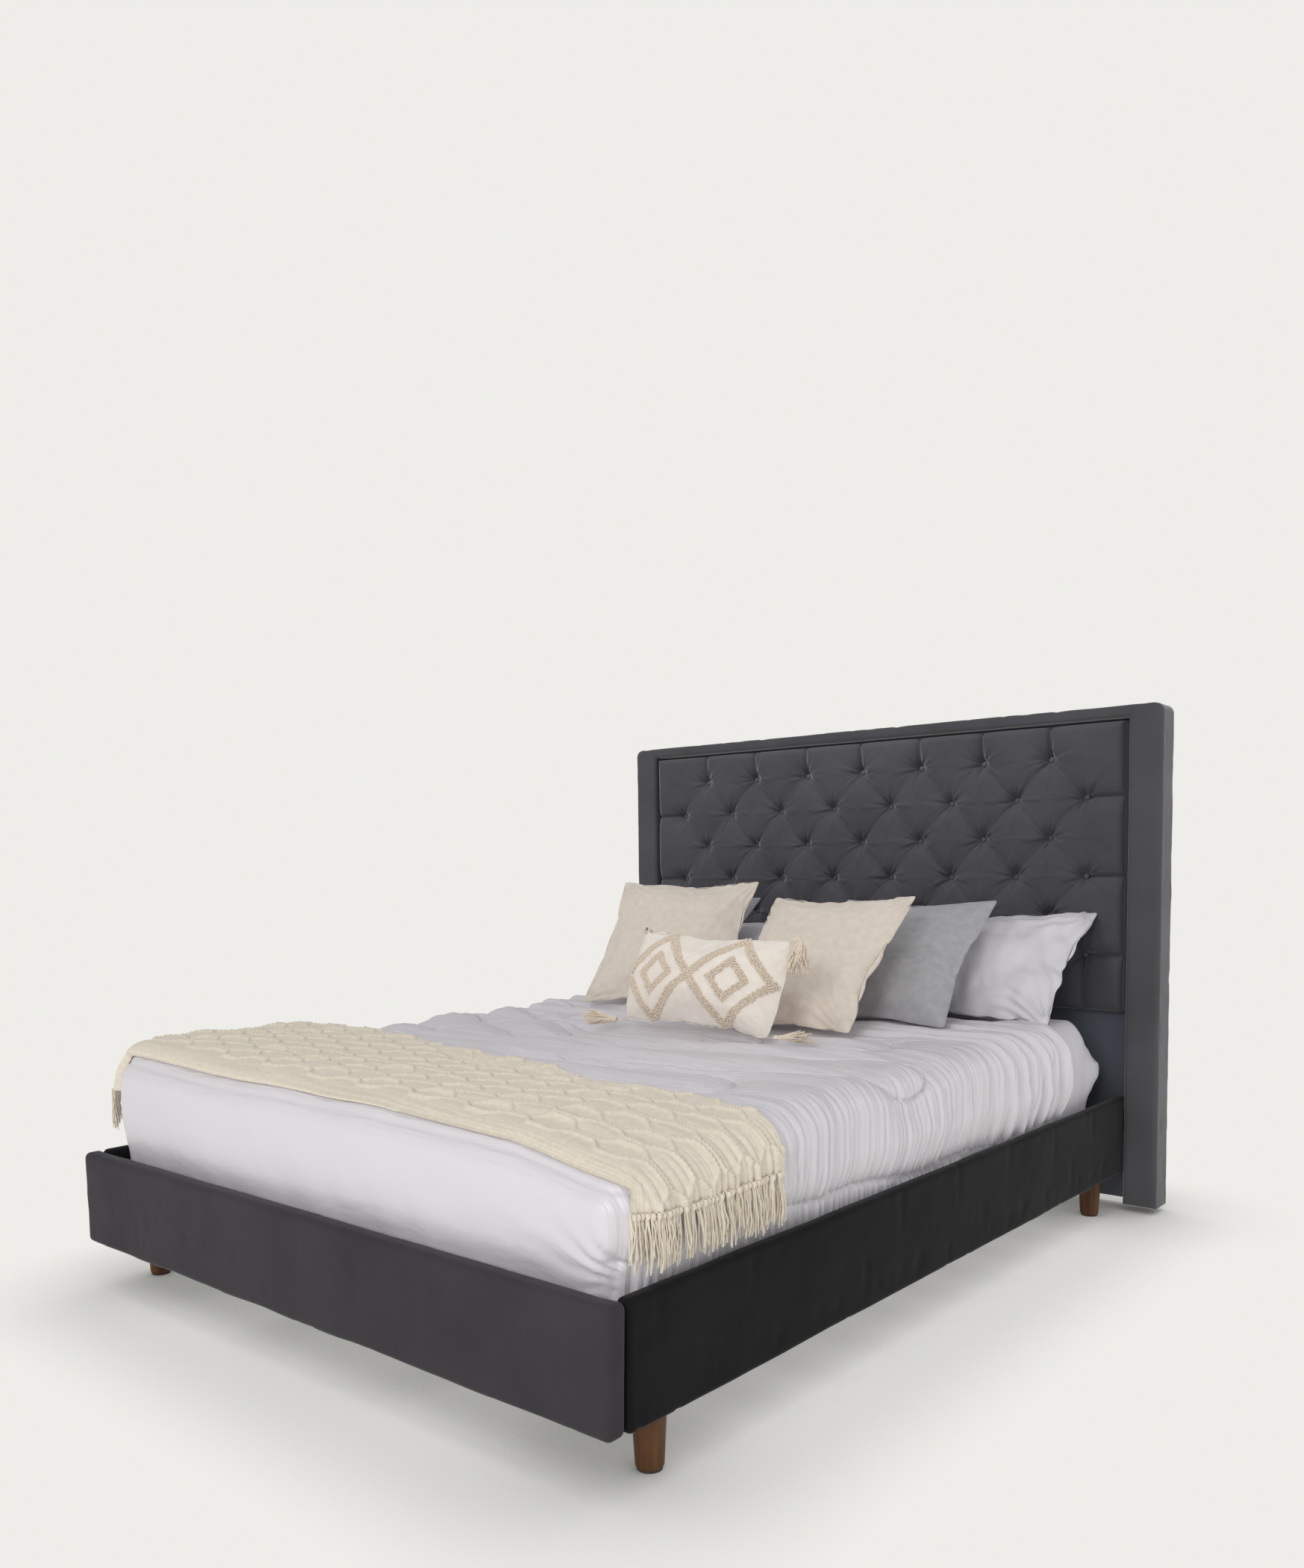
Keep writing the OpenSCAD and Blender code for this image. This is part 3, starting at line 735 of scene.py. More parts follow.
QUILT_LOOPS = [  # end of the loop (x, y), half its width, length of its two sides, heading in degrees
    ((0.60, -0.480), 0.085, 0.62, 6),
    ((0.895, -0.115), 0.100, 0.85, 14),
    ((-0.20, -0.190), 0.080, 0.60, -32),
    ((0.30, 0.010), 0.090, 0.85, -10),
    ((0.62, 0.120), 0.085, 0.45, 4),
    ((-0.55, -0.330), 0.070, 0.30, -20),
    ((-0.45, 0.110), 0.085, 0.40, -15),
    ((0.05, 0.280), 0.080, 0.70, 0),
]


def loop_distance(a, b, end, half, length, heading):
    """Distance to a U-shaped stitch line whose closed end points along heading."""
    angle = math.radians(heading)
    along = (a - end[0]) * math.cos(angle) + (b - end[1]) * math.sin(angle)
    across = (b - end[1]) * math.cos(angle) - (a - end[0]) * math.sin(angle)
    across = across + 0.16 * half * np.sin(along * 11)
    bend = np.abs(np.hypot(along + half, across) - half)
    straight = np.abs(np.abs(across) - half)
    tail = np.hypot(np.maximum(-length - along, 0), straight)
    return np.where(along > -half, bend, tail)


def stitched(d, width=0.0065, depth=0.0090, puff=0.0150, spread=0.046):
    """Relief across a quilting stitch: a thin groove in a broader hollow."""
    return -depth * bell(d, width) - puff * bell(d, spread)


def comforter_relief(points, normals):
    """Relief of the comforter over its rounded shape."""
    x, y, z = points.T
    up = np.clip(normals[:, 2], 0, 1)
    side = ease(np.abs(normals[:, 0]), 0.15, 0.85)
    foot = ease(-normals[:, 1], 0.2, 0.9)
    relief = 0.0055 * value_noise(points, 0.20, 31) + 0.0020 * value_noise(points, 0.06, 32)
    near = np.full(len(x), 9.0)
    unrolled = x + np.sign(x) * (QUILT_HIGH[2] - z) * ease(np.abs(x), 0.70, 0.80)
    for end, half, length, heading in QUILT_LOOPS:
        near = np.minimum(near, loop_distance(unrolled, y, end, half, length, heading))
    top = ease(z, 0.40, 0.46) * ease(0.9 + normals[:, 1], 0.1, 0.5)
    relief += top * stitched(near)
    relief += top * 0.0022 * bell(near, 0.04) * value_noise(points, 0.014, 33)
    hem = np.abs(z - 0.363 + 0.050 * ease(y, -0.85, 0.25) - 0.005 * np.sin(y * 15))
    relief += side * stitched(hem, 0.0045, 0.0065, 0.0040, 0.02)
    front = np.abs(z - 0.520 - 0.004 * np.sin(x * 4))
    relief += foot * stitched(front, 0.0035, 0.0035, 0.0030, 0.025)
    corner = np.hypot(x - 0.81, z - 0.32)
    rays = np.sin(np.arctan2(z - 0.32, 0.81 - x) * 16 + 2 * value_noise(points, 0.1, 39))
    relief += 0.0045 * foot * rays * np.exp(-corner / 0.10) * ease(corner, 0.01, 0.04)
    warp = 0.35 * value_noise(points, (0.3, 0.2, 0.25), 34)
    gathers = (0.6 - np.abs(np.cos(math.pi * (y / 0.019 + 2.0 * warp))) ** 5
               - 0.9 * np.abs(np.cos(math.pi * (y / 0.031 + 2.6 * warp + 0.4))) ** 7)
    fade = 0.5 + 0.5 * ease(value_noise(points, (0.3, 0.10, 0.4), 35), -0.5, 0.5)
    low = 1 - ease(z, 0.33, 0.53)
    relief += 0.0058 * gathers * fade * side * (0.60 + 0.6 * low)
    relief += 0.0030 * value_noise(points, (0.12, 0.018, 0.4), 36) * side
    head = ease(y, 0.10, 0.40) * ease(np.abs(x), 0.05, 0.65)
    bend = y + 0.10 * (0.85 - np.abs(x)) - 0.10 * (0.555 - z)
    ridge = np.sin(2 * math.pi * (bend / 0.062 + 0.4 * warp))
    narrow = np.sin(2 * math.pi * bend / 0.024 + 4 * warp)
    relief += 0.0105 * head * ridge * (0.5 + 0.5 * fade) + 0.0036 * head * narrow
    wave = 0.0048 * value_noise(points, (0.35, 0.030, 0.3), 37) * up
    return relief + wave - 0.004 * (1 - ease(z, 0.30, 0.36)) + 0.0015 * foot


def comforter_shape(points):
    """Outer face of the comforter for points on its sharp box, and the normals there."""
    outer, normals = round_off(points, QUILT_LOW - [0, 0, 1], QUILT_HIGH + [0, 1, 0], QUILT_ROUND)
    half = QUILT_HALF_LOW + (QUILT_HALF - QUILT_HALF_LOW) * ease(outer[:, 2], 0.325, 0.42)
    outer[:, 0] *= half / QUILT_HIGH[0]
    droop = ease(np.abs(outer[:, 0]), 0.45, 0.83) * 0.004
    outer[:, 2] -= droop * normals[:, 2]
    swell = np.sin(math.pi * np.clip((outer[:, 2] - 0.3) / 0.25, 0, 1))
    outer[:, 1] -= 0.008 * ease(-normals[:, 1], 0.5, 1) * swell
    shape = outer + normals * comforter_relief(outer, normals)[:, None]
    shape[:, 2] -= settled(outer)
    return shape, normals


def build_comforter():
    points, quads = box_lattice(QUILT_LOW, QUILT_HIGH, QUILT_ROUND,
                                (0.0060, 0.0045, 0.0065), 12, [(2, 0), (1, 1)])
    outer, normals = comforter_shape(points)
    low, high = LINING_LOW, LINING_HIGH
    middle = (QUILT_LOW + QUILT_HIGH) / 2
    fit = (points - middle) / (QUILT_HIGH - QUILT_LOW) * (high - low) + (low + high) / 2
    inner = round_off(fit, low - [0, 0, 1], high + [0, 1, 0], LINING_ROUND)[0]
    inner[:, 2] -= settled(inner)
    out = np.zeros_like(points)
    out[:, 2] -= points[:, 2] < QUILT_LOW[2] + 1e-6
    out[:, 1] += points[:, 1] > QUILT_HIGH[1] - 1e-6
    head = out[:, 1] > 0
    fullness = 0.010 + 0.004 * value_noise(points, 0.12, 38)
    outer[head] += normals[head] * fullness[head, None]
    comforter = quad_mesh("comforter_quilt", *two_sided(outer, inner, quads, rim=7, bulge=out))
    make_piece(comforter, "comforter", "white_cotton", ["comforter"], "gathered_cotton")


# ---- throw ----

THROW_FRONT = -1.036
THROW_REAR_LEFT = -0.500
THROW_REAR_RIGHT = -0.635
THROW_DROP_LEFT = 0.105
THROW_DROP_RIGHT = 0.105
CABLE_PITCH = 0.0335    # mean distance between two cables
CABLE_SWING = 0.0125    # how far a cable swings to either side
CABLE_FLAT = 0.052      # straight part of a cable
CABLE_SLOPE = 0.028     # slanted part
FRINGE_BUNCHES = 38
BUNCH_YARNS = 9


def cable_wave(s):
    """Trapezoid wave between -1 and 1 along a cable."""
    period = 2 * (CABLE_FLAT + CABLE_SLOPE)
    t = np.mod(s, period)
    half = period / 2
    rise = np.clip((np.abs(t - half) - CABLE_FLAT / 2) / CABLE_SLOPE, 0, 1)
    return 1 - 2 * rise


def knit_relief(s, v, width):
    """Cables that swing together and apart, so that they frame long hexagons, on a ribbed ground."""
    wave = cable_wave(s)
    relief = np.zeros(len(s))
    count = int(width / CABLE_PITCH) + 2
    for k in range(count):
        line = 0.078 + k * CABLE_PITCH + (1 if k % 2 else -1) * CABLE_SWING * wave
        d = np.abs(v - line)
        twist = 1 + 0.22 * np.sin(2 * math.pi * s / 0.008 + 180 * (v - line))
        relief = np.maximum(relief, 0.0054 * twist * bell(d, 0.0052))
    rib = 0.0005 * np.abs(np.sin(math.pi * v / 0.0046)) * (1 + 0.3 * np.sin(2 * math.pi * s / 0.004))
    border = ease(v, 0.052, 0.060)
    garter = 0.0008 * np.sin(2 * math.pi * v / 0.0055) * (1 - border)
    return relief * border + rib + garter


def throw_point(s, y):
    """Place on the comforter for a distance s across the bed, from its middle, at a place y along it."""
    half = QUILT_HIGH[0]
    radius = QUILT_ROUND[0]
    bend = radius * math.pi / 2
    flat = half - radius
    turned = np.clip((np.abs(s) - flat) / bend, 0, 1)
    sharp = np.where(turned < 0.5, radius * np.tan(turned * math.pi / 2), radius)
    fallen = np.where(turned < 0.5, 0, radius - radius * np.tan((1 - turned) * math.pi / 2))
    beyond = np.maximum(np.abs(s) - flat - bend, 0)
    x = np.sign(s) * np.where(np.abs(s) < flat, np.abs(s), flat + sharp)
    z = QUILT_HIGH[2] - fallen - beyond
    return comforter_shape(np.stack([x, y, z], 1))


def throw_surface(t, v):
    """Point and normal on the throw. t runs 0 to 1 from left to right, v 0 to 1 from front to rear."""
    bend = QUILT_HIGH[0] - QUILT_ROUND[0] * (1 - math.pi / 2)
    left = -(bend + THROW_DROP_LEFT - 0.075)
    right = bend + THROW_DROP_RIGHT - 0.075 - 0.034 * (1 - v)
    s = left + t * (right - left)
    rear = THROW_REAR_LEFT + ease(t, 0.0, 1.0) * (THROW_REAR_RIGHT - THROW_REAR_LEFT)
    rear = rear + 0.012 * np.sin(s * 3.1 + 0.5) + 0.004 * np.sin(s * 11)
    front = THROW_FRONT + 0.004 * np.sin(s * 6.0)
    y = front + v * (rear - front)
    place, normals = throw_point(s, y)
    sway = 0.0040 * (1 + value_noise(np.stack([s * 0.6, y, s * 0], 1), (0.10, 0.05, 1), 41))
    loose = 0.0145 * (1 - ease(s, -0.85, 0.35)) + 0.018 * (1 - ease(s, -0.93, -0.80))
    return place + normals * (0.0055 + loose + sway * 0.5)[:, None], normals, s, y - front, loose


def build_throw():
    columns, rows = 760, 190
    t, v = grid(np.linspace(0, 1, columns), np.linspace(0, 1, rows))
    place, normals, s, across, loose = throw_surface(t, v)
    inset = np.minimum(np.minimum(t, 1 - t) * 1.9, np.minimum(v, 1 - v) * 0.5)
    thick = padded_edge(inset, 0.004)
    relief = knit_relief(s, across, 0.56)
    front = place + normals * (relief - thick * 0.6)[:, None]
    back = place - normals * (0.0032 + loose - thick * 0.3)[:, None]
    points, faces = two_sided(front, back, grid_quads(columns, rows))
    blanket = quad_mesh("knitted_throw", points, faces[:, ::-1])
    make_piece(blanket, "throw", "cream_knit", ["throw_blanket"])
    fringe = build_fringe()


def build_fringe():
    """Knotted bunches of yarn along both ends of the throw."""
    rng = np.random.default_rng(5)
    heap = Heap()
    for end, side in ((0.0, -1), (1.0, 1)):
        for k in range(FRINGE_BUNCHES):
            v = np.array([(k + 0.5) / FRINGE_BUNCHES])
            start = throw_surface(np.array([end]), v)[0][0]
            bunch_fall = rng.uniform(0.080, 0.100)
            lean = rng.uniform(-0.010, 0.010)
            for _ in range(BUNCH_YARNS):
                fall = bunch_fall * rng.uniform(0.80, 1.06)
                spread = rng.uniform(-0.0085, 0.0085)
                out = rng.uniform(0.001, 0.010)
                t = np.linspace(0, 1, 11)
                wander = rng.uniform(-1, 1, 4)
                path = np.empty((11, 3))
                curl = 0.0015 * wander[0] * np.sin(t * 9 + wander[1])
                path[:, 0] = start[0] + side * (out * np.sin(t * 2.2) + curl)
                path[:, 1] = (start[1] + 0.35 * spread + (0.65 * spread + lean) * t ** 0.8
                              + 0.0025 * wander[2] * np.sin(t * 8 + wander[3] * 3))
                path[:, 2] = start[2] + 0.004 - fall * t
                heap.add(*tube(path, np.linspace(0.0016, 0.0011, 11), 5))
            knot = np.array([start + [side * 0.003, 0, 0.003], start + [side * 0.004, 0.0005, -0.002],
                             start + [side * 0.003, 0, -0.008]])
            heap.add(*tube(knot, [0.0028, 0.0045, 0.0026], 8))
    fringe = heap.build("throw_fringe_yarn")
    make_piece(fringe, "throw", "cream_knit", ["throw_fringe"])
    return fringe


# ---- pillows ----


def leaning(place, turn, lean, tilt, height):
    """Matrix that stands a flat pillow on its lower edge and leans it back."""
    return (Matrix.Translation(place) @ Matrix.Rotation(math.radians(turn), 4, "Z")
            @ Matrix.Rotation(math.radians(90 - lean), 4, "X") @ Matrix.Rotation(math.radians(tilt), 4, "Z")
            @ Matrix.Translation((0, height / 2, 0)))


DRAW_IN = 0.35          # how far the sewn edges follow the blown-up shape between their corners
SAG = 0.22              # how much thicker a pillow is below than above
SEAM_RADIUS = 0.0016
PILLOW_CLOTH = {
    "quality": 5,
    "mass": 0.25,
    "tension_stiffness": 22,
    "compression_stiffness": 12,
    "shear_stiffness": 6,
    "bending_stiffness": 0.35,
    "use_pressure": True,
}


def inflated(name, width, height, pressure, seed, cell=0.011, frames=22):
    """Two flat cloth panels, sewn round the edge and blown up.

    Returns the blown points, the flat ones, the quads and the seam's vertices.
    """
    columns, rows = round(width / cell) + 1, round(height / cell) + 1
    u, v = np.meshgrid(np.linspace(-1, 1, columns), np.linspace(-1, 1, rows), indexing="ij")
    dome = (1 - u ** 2) * (1 - v ** 2)
    place = np.stack([u, v, 0 * u], -1).reshape(-1, 3)
    rough = 0.15 * value_noise(place, 0.25, seed).reshape(u.shape)
    front = np.stack([u * width / 2, v * height / 2, 0.030 * dome * (1 + rough)], -1).reshape(-1, 3)
    back = front * [1, 1, -1]
    ids = np.arange(columns * rows).reshape(columns, rows)
    inside = np.zeros((columns, rows), bool)
    inside[1:-1, 1:-1] = True
    back_ids = ids.copy()
    back_ids[inside] = columns * rows + np.arange(inside.sum())
    points = np.concatenate([front, back[ids[inside]]])
    front_quads = grid_quads(columns, rows)
    back_quads = back_ids.ravel()[front_quads[:, [0, 3, 2, 1]]]
    seam = np.concatenate([ids[:, 0], ids[-1, 1:], ids[-2::-1, -1], ids[0, -2:0:-1]])
    quads = np.concatenate([front_quads, back_quads])
    cloth = quad_mesh(name, points, quads)
    modifier = cloth.modifiers.new("Cloth", "CLOTH")
    for setting, value in PILLOW_CLOTH.items():
        setattr(modifier.settings, setting, value)
    modifier.settings.uniform_pressure_force = pressure
    modifier.settings.effector_weights.gravity = 0
    scene = bpy.context.scene
    modifier.point_cache.frame_start = 1
    modifier.point_cache.frame_end = frames
    for number in range(1, frames + 1):
        scene.frame_set(number)
    blown = points_of(cloth.evaluated_get(bpy.context.evaluated_depsgraph_get()))
    scene.frame_set(1)
    bpy.data.objects.remove(cloth)
    return blown, points, quads, seam


def smoothed_pillow(name, points, quads, seam):
    """One subdivision, then a thin seam round the edge, all in one mesh."""
    cushion = quad_mesh(name, points, quads)
    cushion.modifiers.new("Subdivision", "SUBSURF").levels = 1
    bpy.context.view_layer.update()
    graph = bpy.context.evaluated_depsgraph_get()
    mesh = bpy.data.meshes.new_from_object(cushion.evaluated_get(graph))
    cushion.modifiers.clear()
    cushion.data = mesh
    heap = Heap()
    points = points_of(cushion)
    heap.add(points, read_rows(mesh.polygons, "vertices", 4, int))
    heap.add(*tube(points[seam], SEAM_RADIUS, 6, closed=True))
    bpy.data.objects.remove(cushion)
    return heap.build(name)


def shaped(points, flat, size, round_corners):
    """Blown-up panels scaled to a pillow's size, with nearly straight edges and the filling sunk."""
    low, high = points.min(0), points.max(0)
    centred = (points - (low + high) / 2) / (high - low) * np.array(size)
    centred[:, :2] = DRAW_IN * centred[:, :2] + (1 - DRAW_IN) * flat[:, :2]
    corner = (flat[:, 0] * flat[:, 1] * 4 / (size[0] * size[1])) ** 2
    centred[:, :2] *= 1 - round_corners * corner[:, None]
    v = centred[:, 1] / size[1] + 0.5
    centred[:, 2] *= 1 + SAG * (0.45 - v)
    return centred


def build_pillow(name, body, slot, place, angles, size, pressure, seed, relief=0.003, fan=0, round_corners=0):
    """Pillow with these (turn, lean, tilt) angles, height of wrinkles and height of corner creases."""
    blown, flat, quads, seam = inflated(name, size[0], size[1], pressure, seed)
    points = shaped(blown, flat, size, round_corners)
    cushion = smoothed_pillow(name, points, quads, seam)
    half = np.array(size[:2]) / 2

    def hand(p):
        rim = np.clip(1 - np.max(np.abs(p[:, :2]) / half, axis=1), 0, 1)
        soft = relief * value_noise(p, 0.09, seed + 50)
        fine = 0.5 * relief * value_noise(p, (0.03, 0.06, 0.05), seed + 60)
        rays = 0
        for cx, cy in ((1, 1), (1, -1), (-1, 1), (-1, -1)):
            dx, dy = p[:, 0] - cx * half[0], p[:, 1] - cy * half[1]
            reach = np.hypot(dx, dy)
            angle = np.arctan2(dy, dx) + 0.3 * value_noise(p, 0.1, seed + 70)
            rays = rays + fan * np.sin(26 * angle) * np.exp(-reach / 0.10) * ease(reach, 0.01, 0.05)
        return (soft + fine) * ease(rim, 0.0, 0.12) + rays * ease(rim, 0.0, 0.05)

    displace(cushion, hand)
    cushion.data.transform(leaning(place, *angles, size[1]))
    make_piece(cushion, body, slot, [body])
    return cushion


WHITE, GREY, BEIGE = "white_cotton", "grey_linen", "beige_linen"
PILLOWS = (     # name, body, slot, place, (turn, lean, tilt), size, pressure, seed, relief, fan
    ("left_white_sleeper", "left_white_pillow", WHITE, (-0.485, 0.640, 0.545), (0, 54, 0),
     (0.600, 0.437, 0.130), 3.0, 1),
    ("right_white_sleeper", "right_white_pillow", WHITE, (0.455, 0.640, 0.552), (1, 52, 0),
     (0.650, 0.462, 0.185), 3.0, 2, 0.012, 0.010),
    ("left_grey_euro", "left_grey_pillow", GREY, (-0.505, 0.520, 0.556), (-2, 46, 0),
     (0.470, 0.463, 0.090), 2.2, 3),
    ("right_grey_euro", "right_grey_pillow", GREY, (0.372, 0.406, 0.560), (3, 48, 0),
     (0.470, 0.473, 0.120), 2.2, 4),
    ("left_beige_euro", "left_beige_pillow", BEIGE, (-0.361, 0.401, 0.560), (12.5, 38, 0),
     (0.482, 0.472, 0.105), 2.2, 5, 0.006, 0.004),
    ("right_beige_euro", "right_beige_pillow", BEIGE, (0.246, 0.178, 0.561), (-2.5, 45.5, 1),
     (0.466, 0.472, 0.115), 2.2, 6, 0.007, 0.005),
)


# ---- lumbar cushion ----

LUMBAR_FOOT = (0.128, -0.012, 0.560)
LUMBAR_ANGLES = (0.5, 22, -2)
LUMBAR_SIZE = (0.502, 0.272, 0.135)
LUMBAR_PLACE = leaning(LUMBAR_FOOT, *LUMBAR_ANGLES, LUMBAR_SIZE[1])
DIAMOND_CENTRES = ((-0.124, 0.0), (0.110, 0.0))
TASSEL_YARNS = 70
TASSEL_REST = 0.568     # the yarn spreads out on the comforter at this height


def build_lumbar_cushion():
    cushion = build_pillow("small_cushion", "lumbar_cushion", "cream_cotton", LUMBAR_FOOT, LUMBAR_ANGLES,
                           LUMBAR_SIZE, 3.0, 7, fan=0.002, round_corners=0.09)
    build_tufts(cushion)
    build_tassels()


def diamond_distance(x, y, centre, half_width, half_height):
    """Signed distance-like measure: below 0 inside the diamond."""
    share = np.abs(x - centre[0]) / half_width + np.abs(y - centre[1]) / half_height
    return (share - 1) * half_width * half_height / math.hypot(half_width, half_height)


def build_tufts(cushion):
    """Cut-yarn tufts set in two pairs of nested diamonds on the cushion's front."""
    rng = np.random.default_rng(9)
    step = 0.0034
    xs, ys = grid(np.arange(-0.242, 0.242, step), np.arange(-0.120, 0.120, step))
    xs = xs + rng.uniform(-0.3, 0.3, xs.size) * step
    ys = ys + rng.uniform(-0.3, 0.3, ys.size) * step
    chosen = np.zeros(len(xs), bool)
    for centre in DIAMOND_CENTRES:
        outer = diamond_distance(xs, ys, centre, 0.117, 0.110)
        inner = diamond_distance(xs, ys, centre, 0.050, 0.048)
        chosen |= (np.abs(outer) < 0.0098) | (np.abs(inner) < 0.0085)
    bpy.context.view_layer.update()
    tree = BVHTree.FromObject(cushion, bpy.context.evaluated_depsgraph_get())
    towards = (LUMBAR_PLACE.to_3x3() @ Vector((0, 0, -1))).normalized()
    heap = Heap()
    turn = full_turn(6)
    for x, y in zip(xs[chosen], ys[chosen]):
        start = LUMBAR_PLACE @ Vector((x, y, 0.2))
        hit, normal, _, _ = tree.ray_cast(start, towards)
        if hit is None:
            continue
        normal = (normal + Vector(rng.uniform(-0.28, 0.28, 3))).normalized()
        side = normal.orthogonal().normalized()
        other = normal.cross(side)
        length = rng.uniform(0.0045, 0.0065)
        rings = []
        for share, radius in ((-0.2, 0.0014), (0.55, 0.0021), (0.95, 0.0019), (1.0, 0.0004)):
            middle = hit + normal * (share * length)
            rings += [middle + side * (radius * math.cos(a)) + other * (radius * math.sin(a)) for a in turn]
        heap.add(np.array(rings), ring_quads(4, 6))
    tufts = heap.build("cushion_tufts")
    make_piece(tufts, "lumbar_cushion", "cream_cotton", material="tan_yarn")


def build_tassel(heap, rng, corner, way, droop, length):
    """Yarn tassel from a corner: a loop, a wrapped neck and loose strands that fall along way, then droop."""
    way, droop = Vector(way).normalized(), Vector(droop).normalized()
    neck = corner + way * 0.012
    cord = [corner - way * 0.006, corner + way * 0.004, neck]
    heap.add(*tube(cord, 0.0018, 6))
    head = neck + (way * 0.5 + droop * 0.5).normalized() * 0.014
    wrapped = [neck, neck.lerp(head, 0.3), neck.lerp(head, 0.7), head]
    heap.add(*tube(wrapped, [0.004, 0.0095, 0.0100, 0.0075], 12))
    for _ in range(TASSEL_YARNS):
        spread = Vector(rng.normal(0, 1, 3)).normalized()
        reach = length * rng.uniform(0.82, 1.05)
        path = []
        for t in np.linspace(0, 1, 9):
            heading = way.lerp(droop, min(1.0, 0.35 + 0.9 * t)).normalized()
            place = head + heading * (reach * t) + spread * (0.0070 + 0.020 * t ** 1.2)
            place += Vector((math.sin(9 * t + spread.x * 5), math.cos(8 * t + spread.y * 5), 0)) * 0.0009
            path.append(place)
        heap.add(*tube(path, 0.0015, 5))


def build_tassels():
    rng = np.random.default_rng(12)
    heap = Heap()
    for side, end, way, droop, length in (
            (1, 1, (0.8, -0.3, 0.25), (0.25, -0.35, -0.9), 0.066),
            (-1, 1, (-0.4, 0.8, 0.1), (-0.1, 0.5, -0.9), 0.060),
            (1, -1, (1.0, 0.15, 0.10), (1.0, 0.25, -0.05), 0.068),
            (-1, -1, (-0.9, -0.35, 0.05), (-0.95, -0.5, -0.05), 0.060)):
        corner = LUMBAR_PLACE @ Vector((side * 0.238, end * 0.126, 0.002))
        build_tassel(heap, rng, corner, way, droop, length)
    tassels = heap.build("yarn_tassels")
    points = points_of(tassels)
    low = points[:, 2] < TASSEL_REST
    points[low, 2] = TASSEL_REST + 0.30 * (points[low, 2] - TASSEL_REST)
    set_points(tassels, points)
    make_piece(tassels, "lumbar_cushion", "cream_cotton", ["cushion_tassels"], "tan_yarn")


# ---- stage, light and camera ----


BACKGROUND = (0.855, 0.847, 0.815, 1)
DOME = 0.54             # strength of the even light from all round
PAINTED_SHADOW_REACH = 0.35     # the floor's painted contact shadow reaches this far from the bed


def build_stage():
    """Pale floor that fades into an equally pale background, under an even dome of light. The floor only
    glows; its contact shadow is painted into the glow.
    """
    ground = bpy.data.meshes.new("floor")
    ground.from_pydata([(-30, -30, 0), (30, -30, 0), (30, 30, 0), (-30, 30, 0)], [], [(0, 1, 2, 3)])
    floor = bpy.data.objects.new("floor", ground)
    bpy.context.scene.collection.objects.link(floor)
    paint = bpy.data.materials.new("floor")
    paint.use_nodes = True
    nodes, links = paint.node_tree.nodes, paint.node_tree.links
    shader = nodes["Principled BSDF"]
    set_inputs(shader, {"Base Color": (0, 0, 0, 1), "Roughness": 1, "Specular IOR Level": 0,
                        "Emission Color": BACKGROUND})
    # Painted contact shadow: an occlusion node dims the floor's glow near the bed.
    painted_contact_shadow = new_node(nodes, "AmbientOcclusion", {"Distance": PAINTED_SHADOW_REACH})
    painted_contact_shadow.samples = 16
    links.new(painted_contact_shadow.outputs["AO"], shader.inputs["Emission Strength"])
    floor.data.materials.append(paint)
    floor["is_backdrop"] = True
    world = bpy.data.worlds.new("studio")
    world.use_nodes = True
    nodes, links = world.node_tree.nodes, world.node_tree.links
    seen = nodes["Background"]
    set_inputs(seen, {"Color": BACKGROUND})
    dome = new_node(nodes, "Background", {"Color": (1, 1, 1, 1), "Strength": DOME})
    path = nodes.new("ShaderNodeLightPath")
    choice = nodes.new("ShaderNodeMixShader")
    links.new(path.outputs["Is Camera Ray"], choice.inputs["Fac"])
    links.new(dome.outputs["Background"], choice.inputs[1])
    links.new(seen.outputs["Background"], choice.inputs[2])
    links.new(choice.outputs["Shader"], nodes["World Output"].inputs["Surface"])
    bpy.context.scene.world = world
    bpy.context.scene.view_settings.view_transform = "Standard"


def add_light(name, place, target, size, power, colour=(1, 1, 1), only=()):
    """Rectangular lamp; it lights everything, or only the pieces given."""
    data = bpy.data.lights.new(name, "AREA")
    data.shape = "RECTANGLE"
    data.size, data.size_y = size
    data.energy = power
    data.color = colour
    lamp = bpy.data.objects.new(name, data)
    lamp.location = place
    lamp.rotation_mode = "QUATERNION"
    lamp.rotation_quaternion = (Vector(target) - Vector(place)).to_track_quat("-Z", "Y")
    bpy.context.scene.collection.objects.link(lamp)
    if only:
        group = bpy.data.collections.new(name + "_lit")
        for piece in only:
            group.objects.link(piece)
        lamp.light_linking.receiver_collection = group


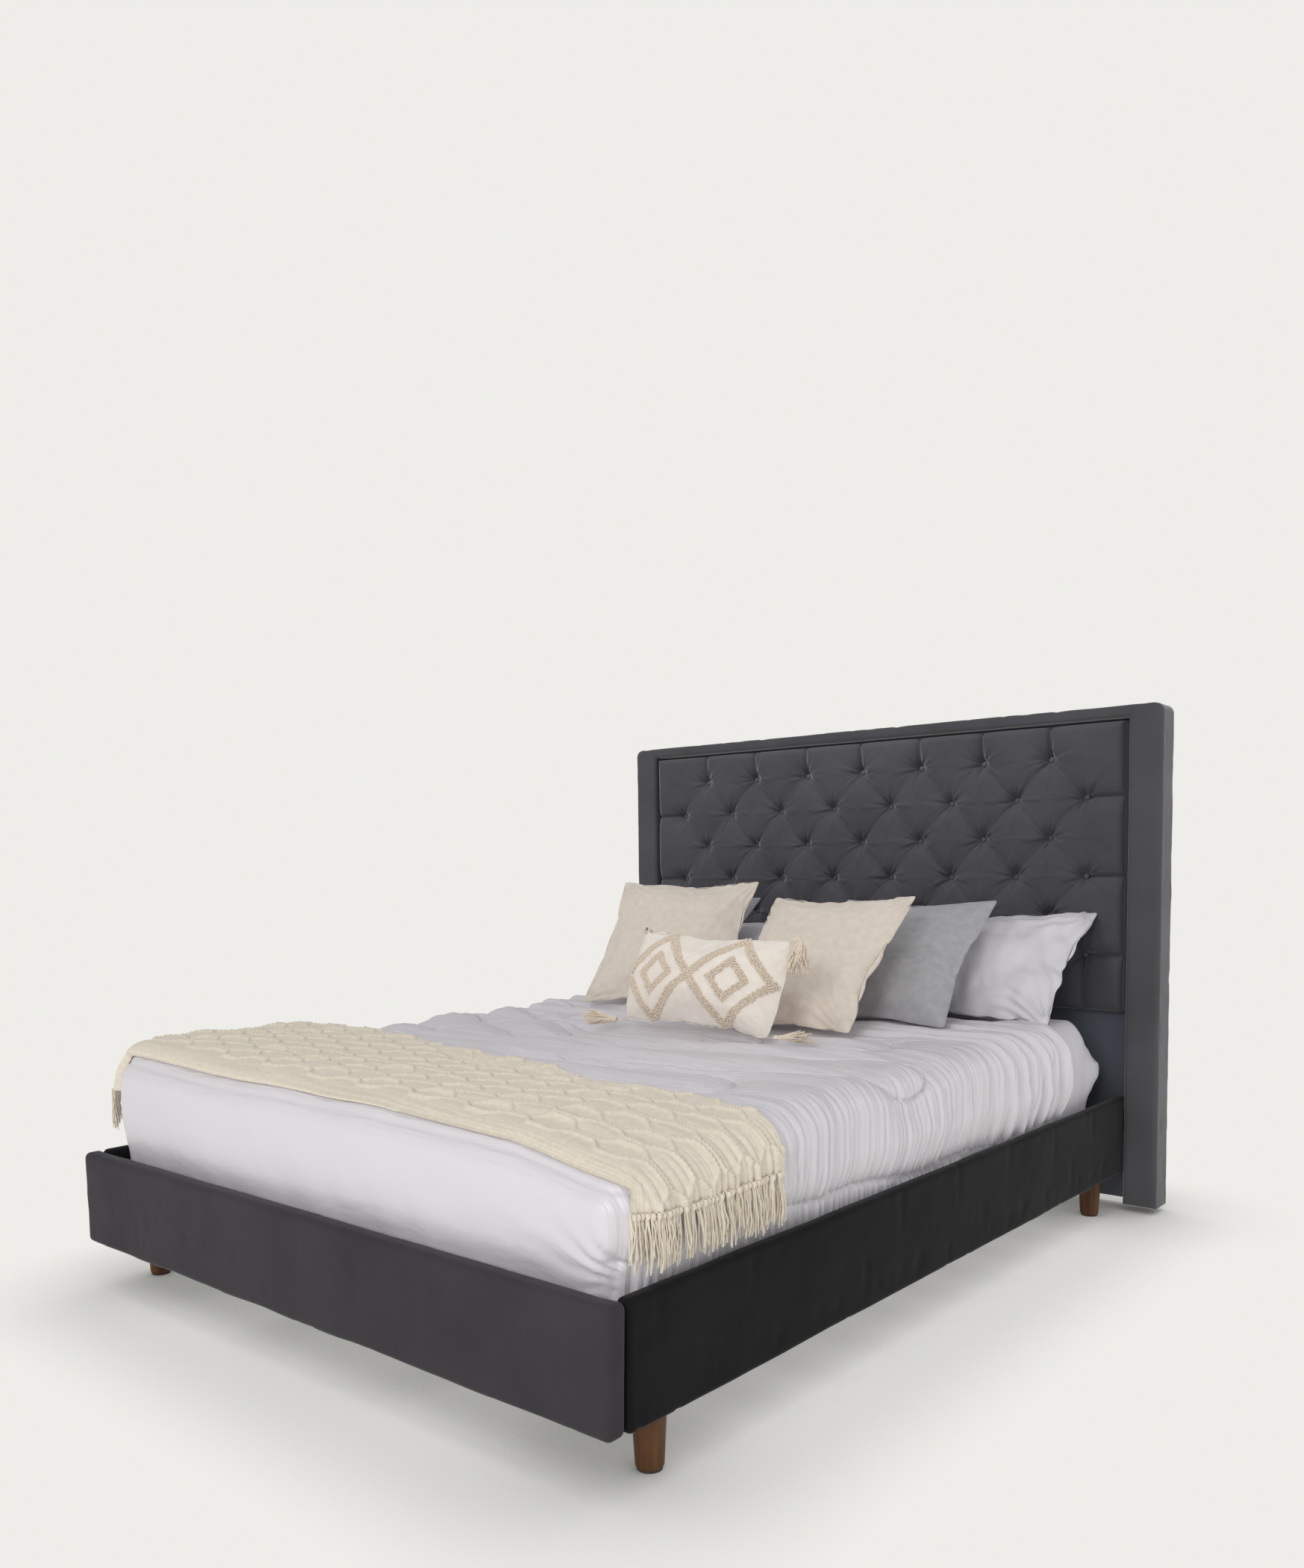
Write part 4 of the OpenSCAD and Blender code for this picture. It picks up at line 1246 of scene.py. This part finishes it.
def build_lights():
    """Soft lamps in front and behind, both on the right, and two from above for headboard and pillows."""
    add_light("key", (1.7, -5.0, 2.7), (0, 0, 0.5), (2.0, 2.0), 90, (1.0, 0.985, 0.97))
    add_light("graze", (3.6, 2.2, 2.0), (0.8, 0.2, 0.45), (0.9, 0.9), 10, (0.98, 0.98, 1.0))
    above = (-0.1, -0.2, 2.9)
    upright = [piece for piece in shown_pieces() if piece.name in ("tufted_headboard", "buttons")]
    add_light("tufting", above, (0, 1, 1.0), (0.8, 0.5), 29, only=upright)
    endings = ("_euro", "_sleeper", "cushion", "_tufts", "_tassels")
    loose = [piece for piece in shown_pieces() if piece.name.endswith(endings)]
    add_light("pillows", above, (0, 0.4, 0.7), (0.8, 0.5), 4, only=loose)


CAMERA_PLACE = (2.0730, -2.4349, 0.9745)
CAMERA_YAW = 40.516
CAMERA_PITCH = 4.134
CAMERA_ROLL = -0.737


def build_camera():
    """Camera off the bed's right foot corner, about a metre above the floor."""
    data = bpy.data.cameras.new("camera")
    data.sensor_width = 36
    data.lens = 28.48
    data.shift_y = 0.1111
    camera = bpy.data.objects.new("camera", data)
    camera.matrix_world = (Matrix.Translation(CAMERA_PLACE)
                           @ Matrix.Rotation(math.radians(CAMERA_YAW), 4, "Z")
                           @ Matrix.Rotation(math.radians(90 - CAMERA_PITCH), 4, "X")
                           @ Matrix.Rotation(math.radians(CAMERA_ROLL), 4, "Z"))
    bpy.context.scene.collection.objects.link(camera)
    bpy.context.scene.camera = camera


build_camera()
build_stage()
build_footboard()
for rail_name, rail_side in (("left", -1), ("right", 1)):
    build_rail(rail_name, rail_side)
build_border()
build_recess_panel()
build_tufted_pad()
build_buttons()
for end_name, leg_y in (("foot", Y_LEG_FOOT), ("head", Y_LEG_HEAD)):
    build_leg(end_name + "_left_leg", -X_LEG, leg_y)
    build_leg(end_name + "_right_leg", X_LEG, leg_y)
build_mattress()
build_sheet()
build_comforter()
build_throw()
for pillow in PILLOWS:
    build_pillow(*pillow)
build_lumbar_cushion()
keep_cad_nodes()
build_lights()
